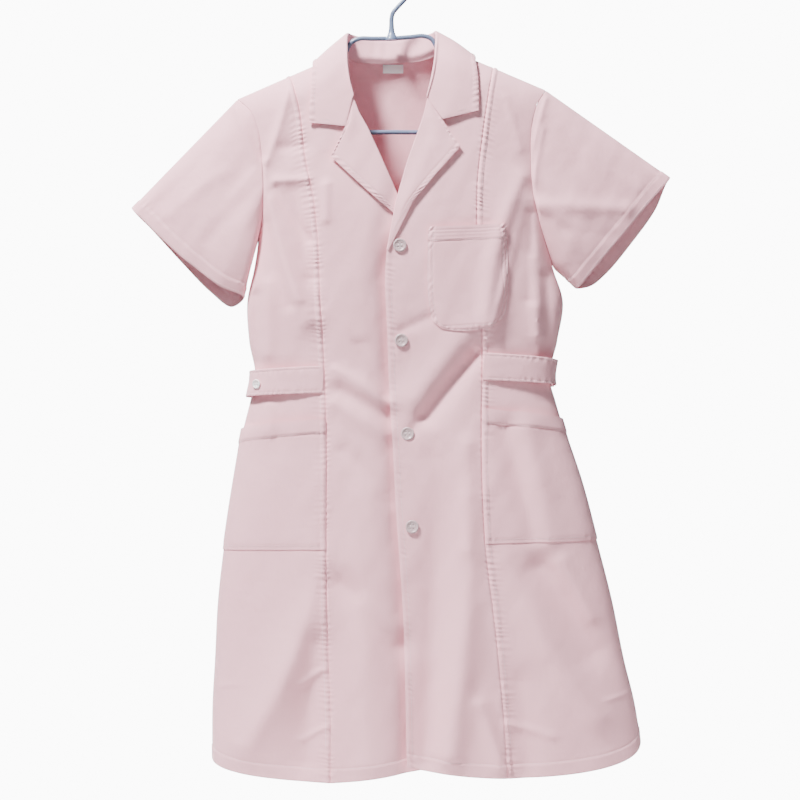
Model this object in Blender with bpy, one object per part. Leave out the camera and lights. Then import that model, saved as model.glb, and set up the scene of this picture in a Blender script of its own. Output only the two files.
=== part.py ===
"""Short-sleeved nurse dress hanging on a plain hanger.

Sizes are in millimetres and become metres when a mesh is made. The dress faces -Y, +X is the wearer's left,
and a drop is the distance below the origin, the point of the hook's inner curve that rests on a rail. Right
and left in names are the wearer's.
"""

import math

import bpy
import numpy as np

METRE = 0.001

# Colours, as linear red, green and blue
CLOTH = (0.84, 0.70, 0.71)
BUTTON = (0.80, 0.71, 0.71)
LABEL = (0.90, 0.90, 0.90)
HANGER = (0.45, 0.52, 0.64)

# Driving sizes
WALL = 1.5
SEAM_GAP = 0.3
EDGE_DEPTH = 0.2
SHOULDER_ROUND = 40.0
FLATNESS = 0.35
LAP_DEPTH = 4.5
LAP_BLEND = 26.0
LAP_EASE = 6.0
LAP_TOP, LAP_FULL = 225.0, 290.0
LAPEL_LIFT = 2.2
LAPEL_WALL = 1.3
POCKET_LIFT = 1.9
POCKET_WALL = 1.2
CHEST_POCKET_LIFT = 2.7
CHEST_POCKET_FOOT = 5.0
SKIRT_SAG = {"centre": 3.5, "side_right": 4.0, "side_left": 10.0, "back": 10.0}
UNDERARM_GAP = 0.5
COLLAR_ROLL = 2.4
COLLAR_WALL = 1.0
TAB_HEIGHT = 36.0
TAB_WALL = 1.8
BUTTON_RADIUS = 8.8
BUTTON_GAP = 0.7
TAB_BUTTON_RADIUS = 6.2
TAB_BUTTON_GAP = 0.8
LABEL_WIDTH, LABEL_HEIGHT, LABEL_WALL = 27.0, 11.0, 0.6
LABEL_X, LABEL_TOP, LABEL_GAP = 2.0, 115.5, 0.6
HANGER_TUBE_RADIUS = 3.0
HOOK_RADIUS = 19.0


def columns(names, *rows):
    """One array for each named column of a table."""
    return dict(zip(names.split(), np.array(rows, float).T))


# The dress as a flattened tube: its two side edges and how far it stands out in front and behind
BODY = columns(
    "drop left right front back",
    (60, -212, 218, 20, 18),
    (112, -211, 217, 27, 24),
    (165, -208, 212, 34, 32),
    (244, -188, 203, 42, 38),
    (297, -179, 203, 47, 40),
    (350, -176, 206, 49, 41),
    (387, -181, 213, 49, 41),
    (429, -190, 226, 48, 40),
    (482, -188, 219, 46, 38),
    (535, -180, 209, 45, 37),
    (561, -186, 216, 46, 38),
    (601, -196, 228, 49, 40),
    (667, -208, 250, 54, 44),
    (746, -220, 271, 58, 48),
    (825, -229, 291, 62, 51),
    (904, -233, 307, 66, 54),
    (957, -236, 320, 68, 56),
    (1060, -236, 334, 70, 58),
)

# Shoulder seams, with the neck between them
SHOULDER = columns("x drop", (-203, 164), (-68, 105), (71, 96), (203, 152))
BACK_NECK = columns("x drop", (-68, 105), (-52, 112), (-20, 115), (20, 112), (52, 108), (71, 96))

# Seam lines and edges of the fronts, from the shoulder seam to the hem
PRINCESS_RIGHT = columns(
    "drop x",
    (133, -133), (177, -121), (248, -112), (296, -102), (342, -97), (428, -93), (474, -90), (562, -86),
    (610, -85), (751, -85), (894, -82), (974, -79), (1059, -79),
)
PRINCESS_LEFT = columns(
    "drop x",
    (122, 134), (149, 129), (219, 119), (272, 113), (326, 112), (416, 116), (470, 118), (533, 119),
    (595, 118), (676, 119), (756, 123), (838, 133), (904, 140), (969, 146), (1053, 151),
)
EDGE_RIGHT = columns(
    "drop x",
    (105, -68), (125, -63), (145, -57), (162, -52), (189, -42), (206, -31), (263, -6), (296, 9),
    (330, 23), (366, 29), (483, 31), (605, 38), (726, 44), (1038, 52),
)
EDGE_LEFT = columns(
    "drop x",
    (96, 71), (120, 64), (145, 57), (165, 49), (186, 44), (205, 38), (230, 28), (296, 9), (366, -6),
    (484, -5), (562, -2), (610, 1), (705, 6), (803, 13), (857, 16), (933, 18), (1038, 20),
)
ARMHOLE_RIGHT = columns(
    "drop x", (164, -203), (180, -186), (200, -177), (244, -170), (298, -168), (325, -170), (350, -176),
)
ARMHOLE_LEFT = columns(
    "drop x", (152, 203), (170, 192), (199, 184), (244, 182), (288, 185), (331, 195), (387, 213),
)

# Where each seam or edge leaves the shoulder seam, and the levels that the rows of a panel share after that:
# underarm, waist, lower pocket top and bottom, hem
LEVELS = {
    "edge_right": (-68, (330, 522, 578, 755, 1038)),
    "princess_right": (-133, (340, 534, 585, 756, 1059)),
    "side_right": (-203, (350, 532, 601, 758, 1031)),
    "edge_left": (71, (345, 508, 562, 752, 1038)),
    "princess_left": (134, (365, 517, 572, 748, 1053)),
    "side_left": (203, (387, 528, 588, 744, 1008)),
}
SHOULDER_STEPS = (0.002, 3.0, 11.0, 23.0, 40.0)
ARMHOLE_ROWS = 5
WAIST_ROWS = 4
TAB_ROWS = 2
POCKET_ROWS = 4
SKIRT_ROWS = 6
UNDERARM_ROW = len(SHOULDER_STEPS) + ARMHOLE_ROWS - 1
POCKET_ROW = UNDERARM_ROW + WAIST_ROWS + TAB_ROWS
POCKET_END_ROW = POCKET_ROW + POCKET_ROWS
LAST_ROW = POCKET_END_ROW + SKIRT_ROWS
CENTRE_COLS = 8
SIDE_COLS = 8
BACK_COLS = 18

# Folds of the cloth: a line from one point to another, how far it bows sideways, its rise and half width
FRONT_FOLDS = columns(
    "x0 drop0 x1 drop1 bow rise width",
    (-134, 160, -166, 260, 4, 3.5, 12),
    (-166, 285, -109, 455, -8, 7.0, 17),
    (-128, 290, -106, 400, 0, -4.0, 13),
    (-163, 410, -162, 500, 0, 4.0, 9),
    (-160, 570, -160, 600, 0, 3.0, 9),
    (-180, 425, -180, 510, 0, -12.0, 9),
    (-184, 552, -188, 590, 0, -9.0, 8),
    (-70, 530, -6, 566, 0, 4.0, 14),
    (-74, 565, -6, 605, 0, 3.5, 13),
    (-66, 548, -8, 582, 0, -3.5, 11),
    (-92, 775, -190, 1012, 12, 10.0, 28),
    (-100, 880, -112, 1030, 0, -5.0, 22),
    (-68, 800, 6, 880, 6, -5.0, 20),
    (-40, 690, -30, 1030, 0, 4.0, 24),
    (110, 500, 46, 584, 0, -6.5, 12),
    (100, 470, 30, 560, 0, 3.5, 18),
    (105, 690, 76, 1020, 6, 7.5, 20),
    (60, 640, 48, 1030, 0, -5.0, 20),
    (172, 270, 124, 460, -10, 6.5, 14),
    (186, 300, 193, 475, 0, 6.0, 11),
    (203, 400, 206, 500, 0, -7.0, 9),
    (150, 600, 186, 735, 0, -6.0, 17),
    (178, 600, 206, 745, 0, 5.0, 18),
    (196, 780, 262, 890, 0, -8.0, 22),
    (150, 770, 268, 975, -8, 6.0, 22),
    (165, 930, 178, 1045, 0, -4.0, 22),
)
BACK_FOLDS = columns(
    "x0 drop0 x1 drop1 bow rise width",
    (-120, 240, -80, 470, 6, 5.0, 22),
    (130, 240, 95, 460, -6, 5.0, 22),
    (0, 600, -20, 1020, 0, 7.0, 30),
    (-70, 610, -120, 1020, 8, -6.0, 28),
    (90, 620, 150, 1010, -8, 7.0, 30),
    (-130, 650, -180, 1020, 0, 7.0, 26),
    (190, 620, 240, 1000, 0, -6.0, 26),
    (-20, 140, -25, 300, 0, 3.0, 16),
)
FRONT, BACK = 1.0, -1.0
SLOPE_STEP = 0.2


def smooth(at, places, values):
    """A smooth curve through a table's values, read at the places asked for."""
    at = np.clip(np.asarray(at, float), places[0], places[-1])
    slope = np.gradient(values, places)
    i = np.clip(np.searchsorted(places, at, side="right") - 1, 0, len(places) - 2)
    step = places[i + 1] - places[i]
    t = (at - places[i]) / step
    start = (1 + 2 * t) * (1 - t) ** 2 * values[i] + t * (1 - t) ** 2 * step * slope[i]
    end = t * t * (3 - 2 * t) * values[i + 1] + t * t * (t - 1) * step * slope[i + 1]
    return start + end


def ease(value, start, end):
    """0 before start and 1 past end, with a soft change between them."""
    t = np.clip((value - start) / (end - start), 0.0, 1.0)
    return t * t * (3 - 2 * t)


def seam_x(table, drop):
    """Where a seam or an edge lies at a drop."""
    return smooth(drop, table["drop"], table["x"])


def fold_rise(folds, x, drop):
    """The height of all folds of a table at a point, each a soft ridge or trough that fades at its ends."""
    x, drop = np.asarray(x)[..., None], np.asarray(drop)[..., None]
    run_x, run_drop = folds["x1"] - folds["x0"], folds["drop1"] - folds["drop0"]
    length = np.hypot(run_x, run_drop)
    along = ((x - folds["x0"]) * run_x + (drop - folds["drop0"]) * run_drop) / length**2
    aside = ((x - folds["x0"]) * run_drop - (drop - folds["drop0"]) * run_x) / length
    inside = np.clip(along, 0, 1)
    aside = aside - folds["bow"] * 4 * inside * (1 - inside)
    past = (along - inside) * length
    return (folds["rise"] * np.exp(-(aside**2 + past**2) / folds["width"] ** 2)).sum(axis=-1)


def body_frame(drop):
    """The middle and the half width of the dress at a drop."""
    left, right = smooth(drop, BODY["drop"], BODY["left"]), smooth(drop, BODY["drop"], BODY["right"])
    return (left + right) / 2, (right - left) / 2


def lap(x, drop):
    """How deep the right front lies behind the left one near the buttons."""
    edge = seam_x(EDGE_LEFT, drop)
    across = ease(x, edge - LAP_BLEND - LAP_EASE, edge - LAP_EASE)
    return LAP_DEPTH * across * ease(drop, LAP_TOP, LAP_FULL)


def body_depth(x, drop, face, under=False, plain=False):
    """How far the outer face of the dress stands from the hanger's plane, in front or behind."""
    middle, half = body_frame(drop)
    across = np.clip((x - middle) / half, -1, 1)
    depth = smooth(drop, BODY["drop"], BODY["front" if face > 0 else "back"])
    if not plain:
        depth = depth + fold_rise(FRONT_FOLDS if face > 0 else BACK_FOLDS, x, drop)
    if under:
        depth = depth - lap(x, drop)
    below = np.clip((drop - np.interp(x, SHOULDER["x"], SHOULDER["drop"])) / SHOULDER_ROUND, 0, 1)
    return depth * (1 - across**2) ** FLATNESS * np.sqrt(below * (2 - below))


def body_point(x, drop, face, lift=0.0, **options):
    """A point of the dress's outer face and the plain form's normal there, along which lift moves it out."""
    x, drop = np.broadcast_arrays(np.asarray(x, float), np.asarray(drop, float))
    depth = body_depth(x, drop, face, **options)
    plain = body_depth(x, drop, face, plain=True)
    right, left = (body_depth(x + way * SLOPE_STEP, drop, face, plain=True) for way in (1, -1))
    slope_x = (right - left) / 2 / SLOPE_STEP
    slope_drop = (body_depth(x, drop + SLOPE_STEP, face, plain=True) - plain) / SLOPE_STEP
    normal = np.stack([-slope_x, -face * np.ones_like(x), slope_drop], axis=-1)
    normal /= np.linalg.norm(normal, axis=-1, keepdims=True)
    point = np.stack([x, -face * np.maximum(depth, EDGE_DEPTH), -drop], axis=-1)
    return point + normal * np.asarray(lift)[..., None], normal


def around(angle, drop, lift):
    """A point round the plain waist: angle is -90 to 90 degrees in front, and 90 to 270 behind."""
    middle, half = body_frame(drop)
    angle = np.radians(angle)
    x = middle + half * np.sin(angle)
    front, _ = body_point(x, drop, FRONT, lift, plain=True)
    back, _ = body_point(x, drop, BACK, lift, plain=True)
    return np.where((np.cos(angle) > 0)[..., None], front, back)


def material(name, colour, roughness, metallic=0.0):
    """A plain Principled material."""
    made = bpy.data.materials.new(name)
    made.use_nodes = True
    shader = made.node_tree.nodes["Principled BSDF"]
    shader.inputs["Base Color"].default_value = (*colour, 1.0)
    shader.inputs["Roughness"].default_value = roughness
    shader.inputs["Metallic"].default_value = metallic
    return made


def add_object(name, points, faces, colour, roughness=0.85):
    """Puts one closed mesh into the scene, with its faces pointing out."""
    points = np.asarray(points, float) * METRE
    corners = [points[[f[0], f[i], f[i + 1]]] for f in faces for i in range(1, len(f) - 1)]
    if np.linalg.det(np.array(corners)).sum() < 0:
        faces = [tuple(reversed(f)) for f in faces]
    mesh = bpy.data.meshes.new(name)
    mesh.from_pydata(points.tolist(), [], faces)
    mesh.shade_smooth()
    mesh.set_sharp_from_angle(angle=math.radians(50))
    mesh.materials.append(material(name + "_finish", colour, roughness))
    made = bpy.data.objects.new(name, mesh)
    bpy.context.scene.collection.objects.link(made)
    return made


def wall(name, outer, inner, colour, ring=False):
    """A cloth wall between two grids of points, closed round its edges. A ring joins first column to last."""
    rows, cols = outer.shape[:2]
    size = rows * cols
    spans = cols if ring else cols - 1

    def at(row, col, layer=0):
        return layer * size + row * cols + col % cols

    faces = []
    for row in range(rows - 1):
        for col in range(spans):
            a, b, c, d = at(row, col), at(row, col + 1), at(row + 1, col + 1), at(row + 1, col)
            for corners in ((a, b, c), (a, c, d)):
                faces += [corners, tuple(corner + size for corner in reversed(corners))]
    for col in range(spans):
        faces.append((at(0, col + 1), at(0, col), at(0, col, 1), at(0, col + 1, 1)))
        a, b = at(rows - 1, col), at(rows - 1, col + 1)
        faces.append((a, b, b + size, a + size))
    for row in range(0 if ring else rows - 1):
        a, b = at(row, 0), at(row + 1, 0)
        faces.append((a, b, b + size, a + size))
        a, b = at(row, cols - 1), at(row + 1, cols - 1)
        faces.append((b, a, a + size, b + size))
    points = np.concatenate([outer.reshape(-1, 3), inner.reshape(-1, 3)])
    return add_object(name, points, faces, colour)


def levels(name):
    """The drops of a seam's rows, close together where the shoulder rounds over."""
    seam_top, (underarm, waist, pocket, pocket_end, hem) = LEVELS[name]
    top = np.interp(seam_top, SHOULDER["x"], SHOULDER["drop"])
    parts = [top + np.array(SHOULDER_STEPS)]
    for start, end, count in (
        (top + SHOULDER_STEPS[-1], underarm, ARMHOLE_ROWS),
        (underarm, waist, WAIST_ROWS),
        (waist, pocket, TAB_ROWS),
        (pocket, pocket_end, POCKET_ROWS),
        (pocket_end, hem, SKIRT_ROWS),
    ):
        parts.append(np.linspace(start, end, count + 1)[1:])
    return np.concatenate(parts)


def side_x(side, drop):
    """The outer boundary of a side panel: the armhole down to the underarm, then the dress's own edge."""
    table = ARMHOLE_LEFT if side == "left" else ARMHOLE_RIGHT
    middle, half = body_frame(drop)
    edge = middle + half if side == "left" else middle - half
    return np.where(drop < table["drop"][-1] - 0.01, seam_x(table, drop), edge)


def panel_grid(near, far, near_x, far_x, cols, sag):
    """x and drop over a panel between two boundaries, evenly spaced at the top and evenly wrapped below."""
    across = np.linspace(0, 1, cols + 1)[None, :]
    down = np.arange(LAST_ROW + 1)[:, None]
    near_drop, far_drop = levels(near)[:, None], levels(far)[:, None]
    low = np.clip((down - POCKET_END_ROW) / SKIRT_ROWS, 0, 1)
    drop = near_drop + (far_drop - near_drop) * across + sag * 4 * across * (1 - across) * low
    straight = near_x[:, None] + (far_x - near_x)[:, None] * across
    angles = []
    for x, level in ((near_x[:, None], near_drop), (far_x[:, None], far_drop)):
        middle, half = body_frame(level)
        angles.append(np.arcsin(np.clip((x - middle) / half, -1, 1)))
    middle, half = body_frame(drop)
    wrapped = middle + half * np.sin(angles[0] + (angles[1] - angles[0]) * across)
    share = ease(down.astype(float), len(SHOULDER_STEPS), UNDERARM_ROW)
    return straight + (wrapped - straight) * share, drop


def cloth_panel(name, x, drop, face, lift=0.0, thickness=WALL, under=False):
    """A panel of the dress as a wall whose inner face follows its outer one."""
    outer, normal = body_point(x, drop, face, lift, under=under)
    wall(name, outer, outer - normal * thickness, CLOTH)


def front_panels():
    """The four fronts, with the lower pockets made from the side panels' own points."""
    half_gap = SEAM_GAP / 2
    for side, sign in (("right", -1), ("left", 1)):
        edge = EDGE_RIGHT if sign < 0 else EDGE_LEFT
        princess = PRINCESS_RIGHT if sign < 0 else PRINCESS_LEFT
        seam = seam_x(princess, levels("princess_" + side))
        edge_x = seam_x(edge, levels("edge_" + side))
        x, drop = panel_grid(
            "edge_" + side, "princess_" + side, edge_x, seam - sign * half_gap, CENTRE_COLS,
            SKIRT_SAG["centre"],
        )
        cloth_panel("front_centre_" + side, x, drop, FRONT, under=sign < 0)
        outer_x = side_x(side, levels("side_" + side))
        arm = np.arange(LAST_ROW + 1) < UNDERARM_ROW
        outer_x = outer_x - sign * half_gap * arm
        x, drop = panel_grid(
            "princess_" + side, "side_" + side, seam + sign * half_gap, outer_x, SIDE_COLS,
            SKIRT_SAG["side_" + side],
        )
        cloth_panel("front_side_" + side, x, drop, FRONT)
        rows = slice(POCKET_ROW, POCKET_END_ROW + 1)
        cloth_panel("lower_pocket_" + side, x[rows], drop[rows], FRONT, POCKET_LIFT, POCKET_WALL)


def back_panel():
    """The back, whose top follows both shoulder seams and the neck."""
    right, left = levels("side_right"), levels("side_left")
    right_x = side_x("right", right)
    left_x = side_x("left", left)
    gap = SEAM_GAP / 2 * (np.arange(LAST_ROW + 1) < UNDERARM_ROW)
    x, drop = panel_grid(
        "side_right", "side_left", right_x + gap, left_x - gap, BACK_COLS, SKIRT_SAG["back"]
    )
    top_x = x[0]
    outside = (top_x < BACK_NECK["x"][0]) | (top_x > BACK_NECK["x"][-1])
    shoulder = np.interp(top_x, SHOULDER["x"], SHOULDER["drop"])
    neck = smooth(top_x, BACK_NECK["x"], BACK_NECK["drop"])
    top = np.where(outside, shoulder, neck) + SHOULDER_STEPS[0]
    down = np.arange(LAST_ROW + 1)[:, None].astype(float)
    fade = 1 - ease(down, len(SHOULDER_STEPS) - 2, UNDERARM_ROW)
    cloth_panel("back", x, drop + (top - drop[0]) * fade, BACK)


# Sleeve mouths: turn runs 0 to 1 down the front and 1 to 2 up the back, and puff fills out the middle
CUFF_RIGHT = columns(
    "turn x y drop puff",
    (0.0, -343, 0, 308, 0),
    (0.02, -341, -3.8, 311, 0),
    (0.12, -328, -9, 323, 2),
    (0.3, -303, -14, 348, 4),
    (0.55, -262, -17, 384, 6),
    (0.75, -222, -19, 413, 8),
    (0.88, -197, -15, 423, 7),
    (1.0, -197, 0, 430, 0),
    (1.12, -212, 10, 438, 0),
    (1.3, -240, 15, 418, 3),
    (1.55, -279, 17, 378, 4),
    (1.8, -319, 11, 334, 2),
    (1.98, -341, 3.8, 311, 0),
    (2.0, -343, 0, 308, 0),
)
CUFF_LEFT = columns(
    "turn x y drop puff",
    (0.0, 368, 0, 268, 0),
    (0.02, 366, -3.8, 271, 0),
    (0.12, 352, -9, 287, 2),
    (0.3, 330, -14, 313, 4),
    (0.55, 299, -17, 350, 6),
    (0.75, 272, -19, 382, 6),
    (0.88, 251, -13, 408, 3),
    (1.0, 244, 0, 414, 0),
    (1.12, 262, 9, 411, 0),
    (1.3, 284, 14, 394, 3),
    (1.55, 316, 15, 356, 4),
    (1.8, 350, 10, 308, 2),
    (1.98, 366, 3.8, 271, 0),
    (2.0, 368, 0, 268, 0),
)
SLEEVE_STEPS = (0, 0.08, 0.2, 0.36, 0.52, 0.68, 0.84, 1.0)
SLEEVE_BLEND = 0.25
UNDERARM_TURN = (0.55, 0.85)
CAP_SLOPE = 0.4


def sleeve(side, cuff):
    """A set-in sleeve: lines from the armhole's points to the mouth's, puffed out between them."""
    level = levels("side_" + side)[: UNDERARM_ROW + 1]
    sign = -1.0 if side == "right" else 1.0
    arm_x = side_x(side, level)
    front, front_normal = body_point(arm_x, level, FRONT)
    back, back_normal = body_point(arm_x, level, BACK)
    start = np.concatenate([front, back[-2:0:-1]])
    arm_normal = np.concatenate([front_normal, back_normal[-2:0:-1]])
    start[0, 1] = start[UNDERARM_ROW, 1] = 0.0
    part = (level - level[0]) / (level[-1] - level[0])
    turn = np.concatenate([part, 2 - part[-2:0:-1]])
    part_round = 1 - abs(1 - turn)
    end = np.stack([smooth(turn, cuff["turn"], cuff[key]) for key in ("x", "y", "drop")], axis=-1)
    end[:, 2] *= -1
    puff = smooth(turn, cuff["turn"], cuff["puff"])
    run = end - start
    run /= np.linalg.norm(run, axis=-1, keepdims=True)
    arm_normal -= run * (arm_normal * run).sum(axis=-1, keepdims=True)
    arm_normal[0] = np.array((sign * CAP_SLOPE, 0.0, 1.0)) / math.hypot(CAP_SLOPE, 1.0)
    start = start + run * (SEAM_GAP + UNDERARM_GAP * part_round[:, None] ** 4)
    steps = np.array(SLEEVE_STEPS)[:, None, None]
    outward = np.stack([0 * turn, np.where(turn < 1, -1.0, 1.0), 0 * turn], axis=-1)
    outer = start + (end - start) * steps + outward * (puff[:, None] * 4) * steps * (1 - steps)
    along = np.gradient(outer, axis=0)
    circled = (np.roll(outer, -1, axis=1) - np.roll(outer, 1, axis=1)) / 2
    normal = np.cross(circled, along) * sign
    normal /= np.linalg.norm(normal, axis=-1, keepdims=True)
    share = np.maximum(ease(steps, 0.0, SLEEVE_BLEND), ease(part_round, *UNDERARM_TURN)[:, None])
    normal = arm_normal[None] * (1 - share) + normal * share
    normal /= np.linalg.norm(normal, axis=-1, keepdims=True)
    wall("sleeve_" + side, outer, outer - normal * WALL, CLOTH, ring=True)


# The collar at stations from the right notch round the neck to the left notch. At each one the cloth rises
# from the neck seam to the roll and falls over to its outer edge.
COLLAR = columns(
    "place seam_x seam_y seam_drop roll_x roll_y roll_drop mid_x mid_y mid_drop edge_x edge_y edge_drop",
    (0.0, -52, -34.4, 165.5, -49.5, -39.5, 161.5, -60, -42, 203, -108, -38, 198),
    (0.1, -58.3, -30, 139, -56, -36, 137, -82, -38, 162, -107, -35.5, 170),
    (0.2, -64, -21, 117, -59, -26, 106, -82, -31, 128, -105, -30, 143),
    (0.26, -66, -12.5, 109, -59, -14, 90, -81, -18, 105, -104, -20, 125),
    (0.32, -67.6, 0, 104, -57, 0, 77, -80, 2, 93, -103, 2, 115),
    (0.37, -61, 10, 107, -52, 14, 77, -72, 23, 98, -93, 22, 123),
    (0.43, -40, 15.5, 112, -36, 23, 80, -48, 36, 110, -66, 34, 150),
    (0.5, 0, 17.5, 112.6, 0, 27, 83, 0, 38, 120, 0, 36.5, 160),
    (0.57, 40, 15.5, 109.5, 36, 23, 79, 50, 36, 106, 68, 34, 146),
    (0.63, 63, 10, 100, 53, 14, 75, 77, 23, 91, 99, 22, 115),
    (0.68, 70.5, 0, 95, 58, 0, 74, 84, 2, 86, 110, 2, 107),
    (0.74, 69, -13.5, 101, 59, -15, 88, 84, -18, 98, 111, -20, 117),
    (0.8, 66.5, -22, 109.5, 58, -26, 104, 84, -31, 116, 113, -28, 132),
    (0.9, 58.2, -31, 138, 54, -36, 135, 84, -38, 150, 114, -34, 156),
    (1.0, 48.6, -35, 166, 46, -39, 165, 67, -42, 194, 114, -37, 182),
)
COLLAR_STATIONS = 27
NOTCH_ROLL, NOTCH_REACH = 1.15, 0.2
FALL_STEPS = (0.3, 0.65, 1.0)


def collar():
    """Stand and fall in one folded wall, round where it rolls over and a little wider at the notches."""
    place = np.linspace(0, 1, COLLAR_STATIONS)

    def line(key):
        x, y, drop = (smooth(place, COLLAR["place"], COLLAR[key + part]) for part in ("_x", "_y", "_drop"))
        return np.stack([x, y, -drop], axis=-1)

    def unit(vector):
        return vector / np.linalg.norm(vector, axis=-1, keepdims=True)

    seam, roll, middle, edge = line("seam"), line("roll"), line("mid"), line("edge")
    over = unit(middle - seam)
    up = roll - (seam + middle) / 2
    up = unit(up - over * (up * over).sum(axis=-1, keepdims=True))
    from_notch = ease(np.minimum(place, 1 - place), 0.0, NOTCH_REACH)
    reach = COLLAR_ROLL * (NOTCH_ROLL + (1 - NOTCH_ROLL) * from_notch)[:, None]
    near, far = roll - (up + over) * reach, roll - (up - over) * reach
    rows = [seam, (seam + near) / 2, near, roll, far]
    for t in FALL_STEPS:
        rows.append(far * (1 - t) * (1 - 2 * t) + middle * 4 * t * (1 - t) + edge * t * (2 * t - 1))
    outer = np.array(rows)
    normal = unit(np.cross(np.gradient(outer, axis=1), np.gradient(outer, axis=0)))
    wall("collar", outer, outer - normal * COLLAR_WALL, CLOTH)


# Lapels: the turned facing between the roll line and its outer edge
LAPEL_RIGHT = columns(
    "place roll_x roll_drop edge_x edge_drop",
    (0.0, -51, 165, -52.5, 171),
    (0.12, -43, 186, -60, 204),
    (0.3, -32, 205, -79, 243),
    (0.55, -17, 238, -52, 269),
    (0.78, -2, 272, -23, 295),
    (1.0, 11, 302, 3, 317),
)
LAPEL_LEFT = columns(
    "place roll_x roll_drop edge_x edge_drop",
    (0.0, 48, 167, 51, 171.5),
    (0.12, 43, 188, 67, 196),
    (0.3, 36, 209, 90, 230),
    (0.5, 22, 248, 58, 266),
    (0.72, 7, 301, 28, 302),
    (1.0, -5, 364, -4, 365.5),
)
LAPEL_ROWS = 12
LAPEL_COLS = 5


def lapel(side, table):
    """A lapel laid on its front, a little proud of it."""
    place = np.linspace(0, 1, LAPEL_ROWS + 1)[:, None]
    across = np.linspace(0, 1, LAPEL_COLS + 1)[None, :]

    def edge(key):
        return np.interp(place, table["place"], table[key])

    x = edge("roll_x") + (edge("edge_x") - edge("roll_x")) * across
    drop = edge("roll_drop") + (edge("edge_drop") - edge("roll_drop")) * across
    cloth_panel("lapel_" + side, x, drop, FRONT, LAPEL_LIFT, LAPEL_WALL, under=side == "right")


# The chest pocket's two sides, from its top edge to its rounded foot
CHEST_POCKET = columns(
    "down x0 drop0 x1 drop1",
    (0.0, 48, 335, 149, 331),
    (0.12, 47, 352, 150, 346),
    (0.5, 46, 400, 152, 397),
    (0.8, 49, 440, 151, 436),
    (0.92, 54, 458, 147, 451),
    (1.0, 66, 468, 136, 463),
)
CHEST_POCKET_STEPS = (0, 0.12, 0.25, 0.38, 0.5, 0.62, 0.74, 0.84, 0.92, 1.0)
CHEST_POCKET_COLS = 9
FOOT_START = 0.6


def chest_pocket():
    """The patch pocket across the left princess seam."""
    down = np.array(CHEST_POCKET_STEPS)[:, None]
    across = np.linspace(0, 1, CHEST_POCKET_COLS + 1)[None, :]
    first_x, second_x = (smooth(down, CHEST_POCKET["down"], CHEST_POCKET[key]) for key in ("x0", "x1"))
    first, second = (smooth(down, CHEST_POCKET["down"], CHEST_POCKET[key]) for key in ("drop0", "drop1"))
    x = first_x + (second_x - first_x) * across
    foot = CHEST_POCKET_FOOT * 4 * across * (1 - across) * ease(down, FOOT_START, 1.0)
    drop = first + (second - first) * across + foot
    cloth_panel("chest_pocket", x, drop, FRONT, CHEST_POCKET_LIFT, POCKET_WALL)


# Waist tabs as strips round the plain waist. Angles run from the princess seam, past the side and behind it,
# and lifts are at the start, near the middle and at the end.
TABS = {
    "waist_tab_right": dict(angles=(-32, -98), lifts=(2.85, 8.0, 7.4), drops=(516, 523)),
    "waist_tab_left": dict(angles=(32.5, 106), lifts=(2.7, 8.0, 7.0), drops=(499, 509)),
    "back_tab_right": dict(angles=(-76, -150), lifts=(4.7, 4.3, 2.7), drops=(522, 524)),
    "back_tab_left": dict(angles=(82, 150), lifts=(4.2, 3.6, 2.7), drops=(508, 510)),
}
TAB_PLACES = np.array((0.0, 0.45, 1.0))
TAB_COLS = 12
TAB_ACROSS = 2


def tab_lift(along, lifts):
    """How far a tab's outer face stands off the plain waist, at a share of its length."""
    return smooth(along, TAB_PLACES, np.array(lifts, float))


def waist_tab(name, angles, lifts, drops):
    """A strip that starts at one angle and lift, and reaches another round the waist."""
    along = np.linspace(0, 1, TAB_COLS + 1)[None, :]
    down = np.linspace(0, 1, TAB_ACROSS + 1)[:, None]
    angle = angles[0] + (angles[1] - angles[0]) * along + 0 * down
    drop = drops[0] + (drops[1] - drops[0]) * along + TAB_HEIGHT * down
    lift = tab_lift(along, lifts) + 0 * down
    wall(name, around(angle, drop, lift), around(angle, drop, lift - TAB_WALL), CLOTH)


# A turned button's profile, from the middle of its foot round its raised rim, as a share of its radius
BUTTON_PROFILE = columns(
    "part height",
    (0.0, 0.0), (0.55, 0.0), (0.9, 0.2), (1.0, 1.1), (0.93, 2.2), (0.78, 2.4), (0.62, 1.7), (0.0, 1.5),
)
BUTTON_SIDES = 14


def button(name, centre, normal, radius):
    """A turned disc with a raised rim, lying on the cloth that faces along its normal."""
    part, height = BUTTON_PROFILE["part"], BUTTON_PROFILE["height"]
    normal = normal / np.linalg.norm(normal)
    side = np.cross(normal, (0.0, 0.0, 1.0))
    side /= np.linalg.norm(side)
    up = np.cross(side, normal)
    turn = np.arange(BUTTON_SIDES) * 2 * math.pi / BUTTON_SIDES
    circle = np.outer(np.cos(turn), side) + np.outer(np.sin(turn), up)
    points = [centre]
    for k in range(1, len(part) - 1):
        points += list(centre + circle * part[k] * radius + normal * height[k])
    points.append(centre + normal * height[-1])
    last = len(points) - 1
    faces = []
    for i in range(BUTTON_SIDES):
        j = (i + 1) % BUTTON_SIDES
        faces.append((0, 1 + j, 1 + i))
        for k in range(len(part) - 3):
            a = 1 + k * BUTTON_SIDES
            faces.append((a + i, a + j, a + BUTTON_SIDES + j, a + BUTTON_SIDES + i))
        faces.append((last, last - BUTTON_SIDES + i, last - BUTTON_SIDES + j))
    add_object(name, np.array(points), faces, BUTTON, roughness=0.35)


# Front buttons as x and drop, tab buttons as angle and drop
FRONT_BUTTONS = ((11, 359), (13, 483), (21, 605), (27, 726))
TAB_BUTTONS = {"right": (-72, 541), "left": (101, 526)}
BESIDE = 3.0


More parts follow.
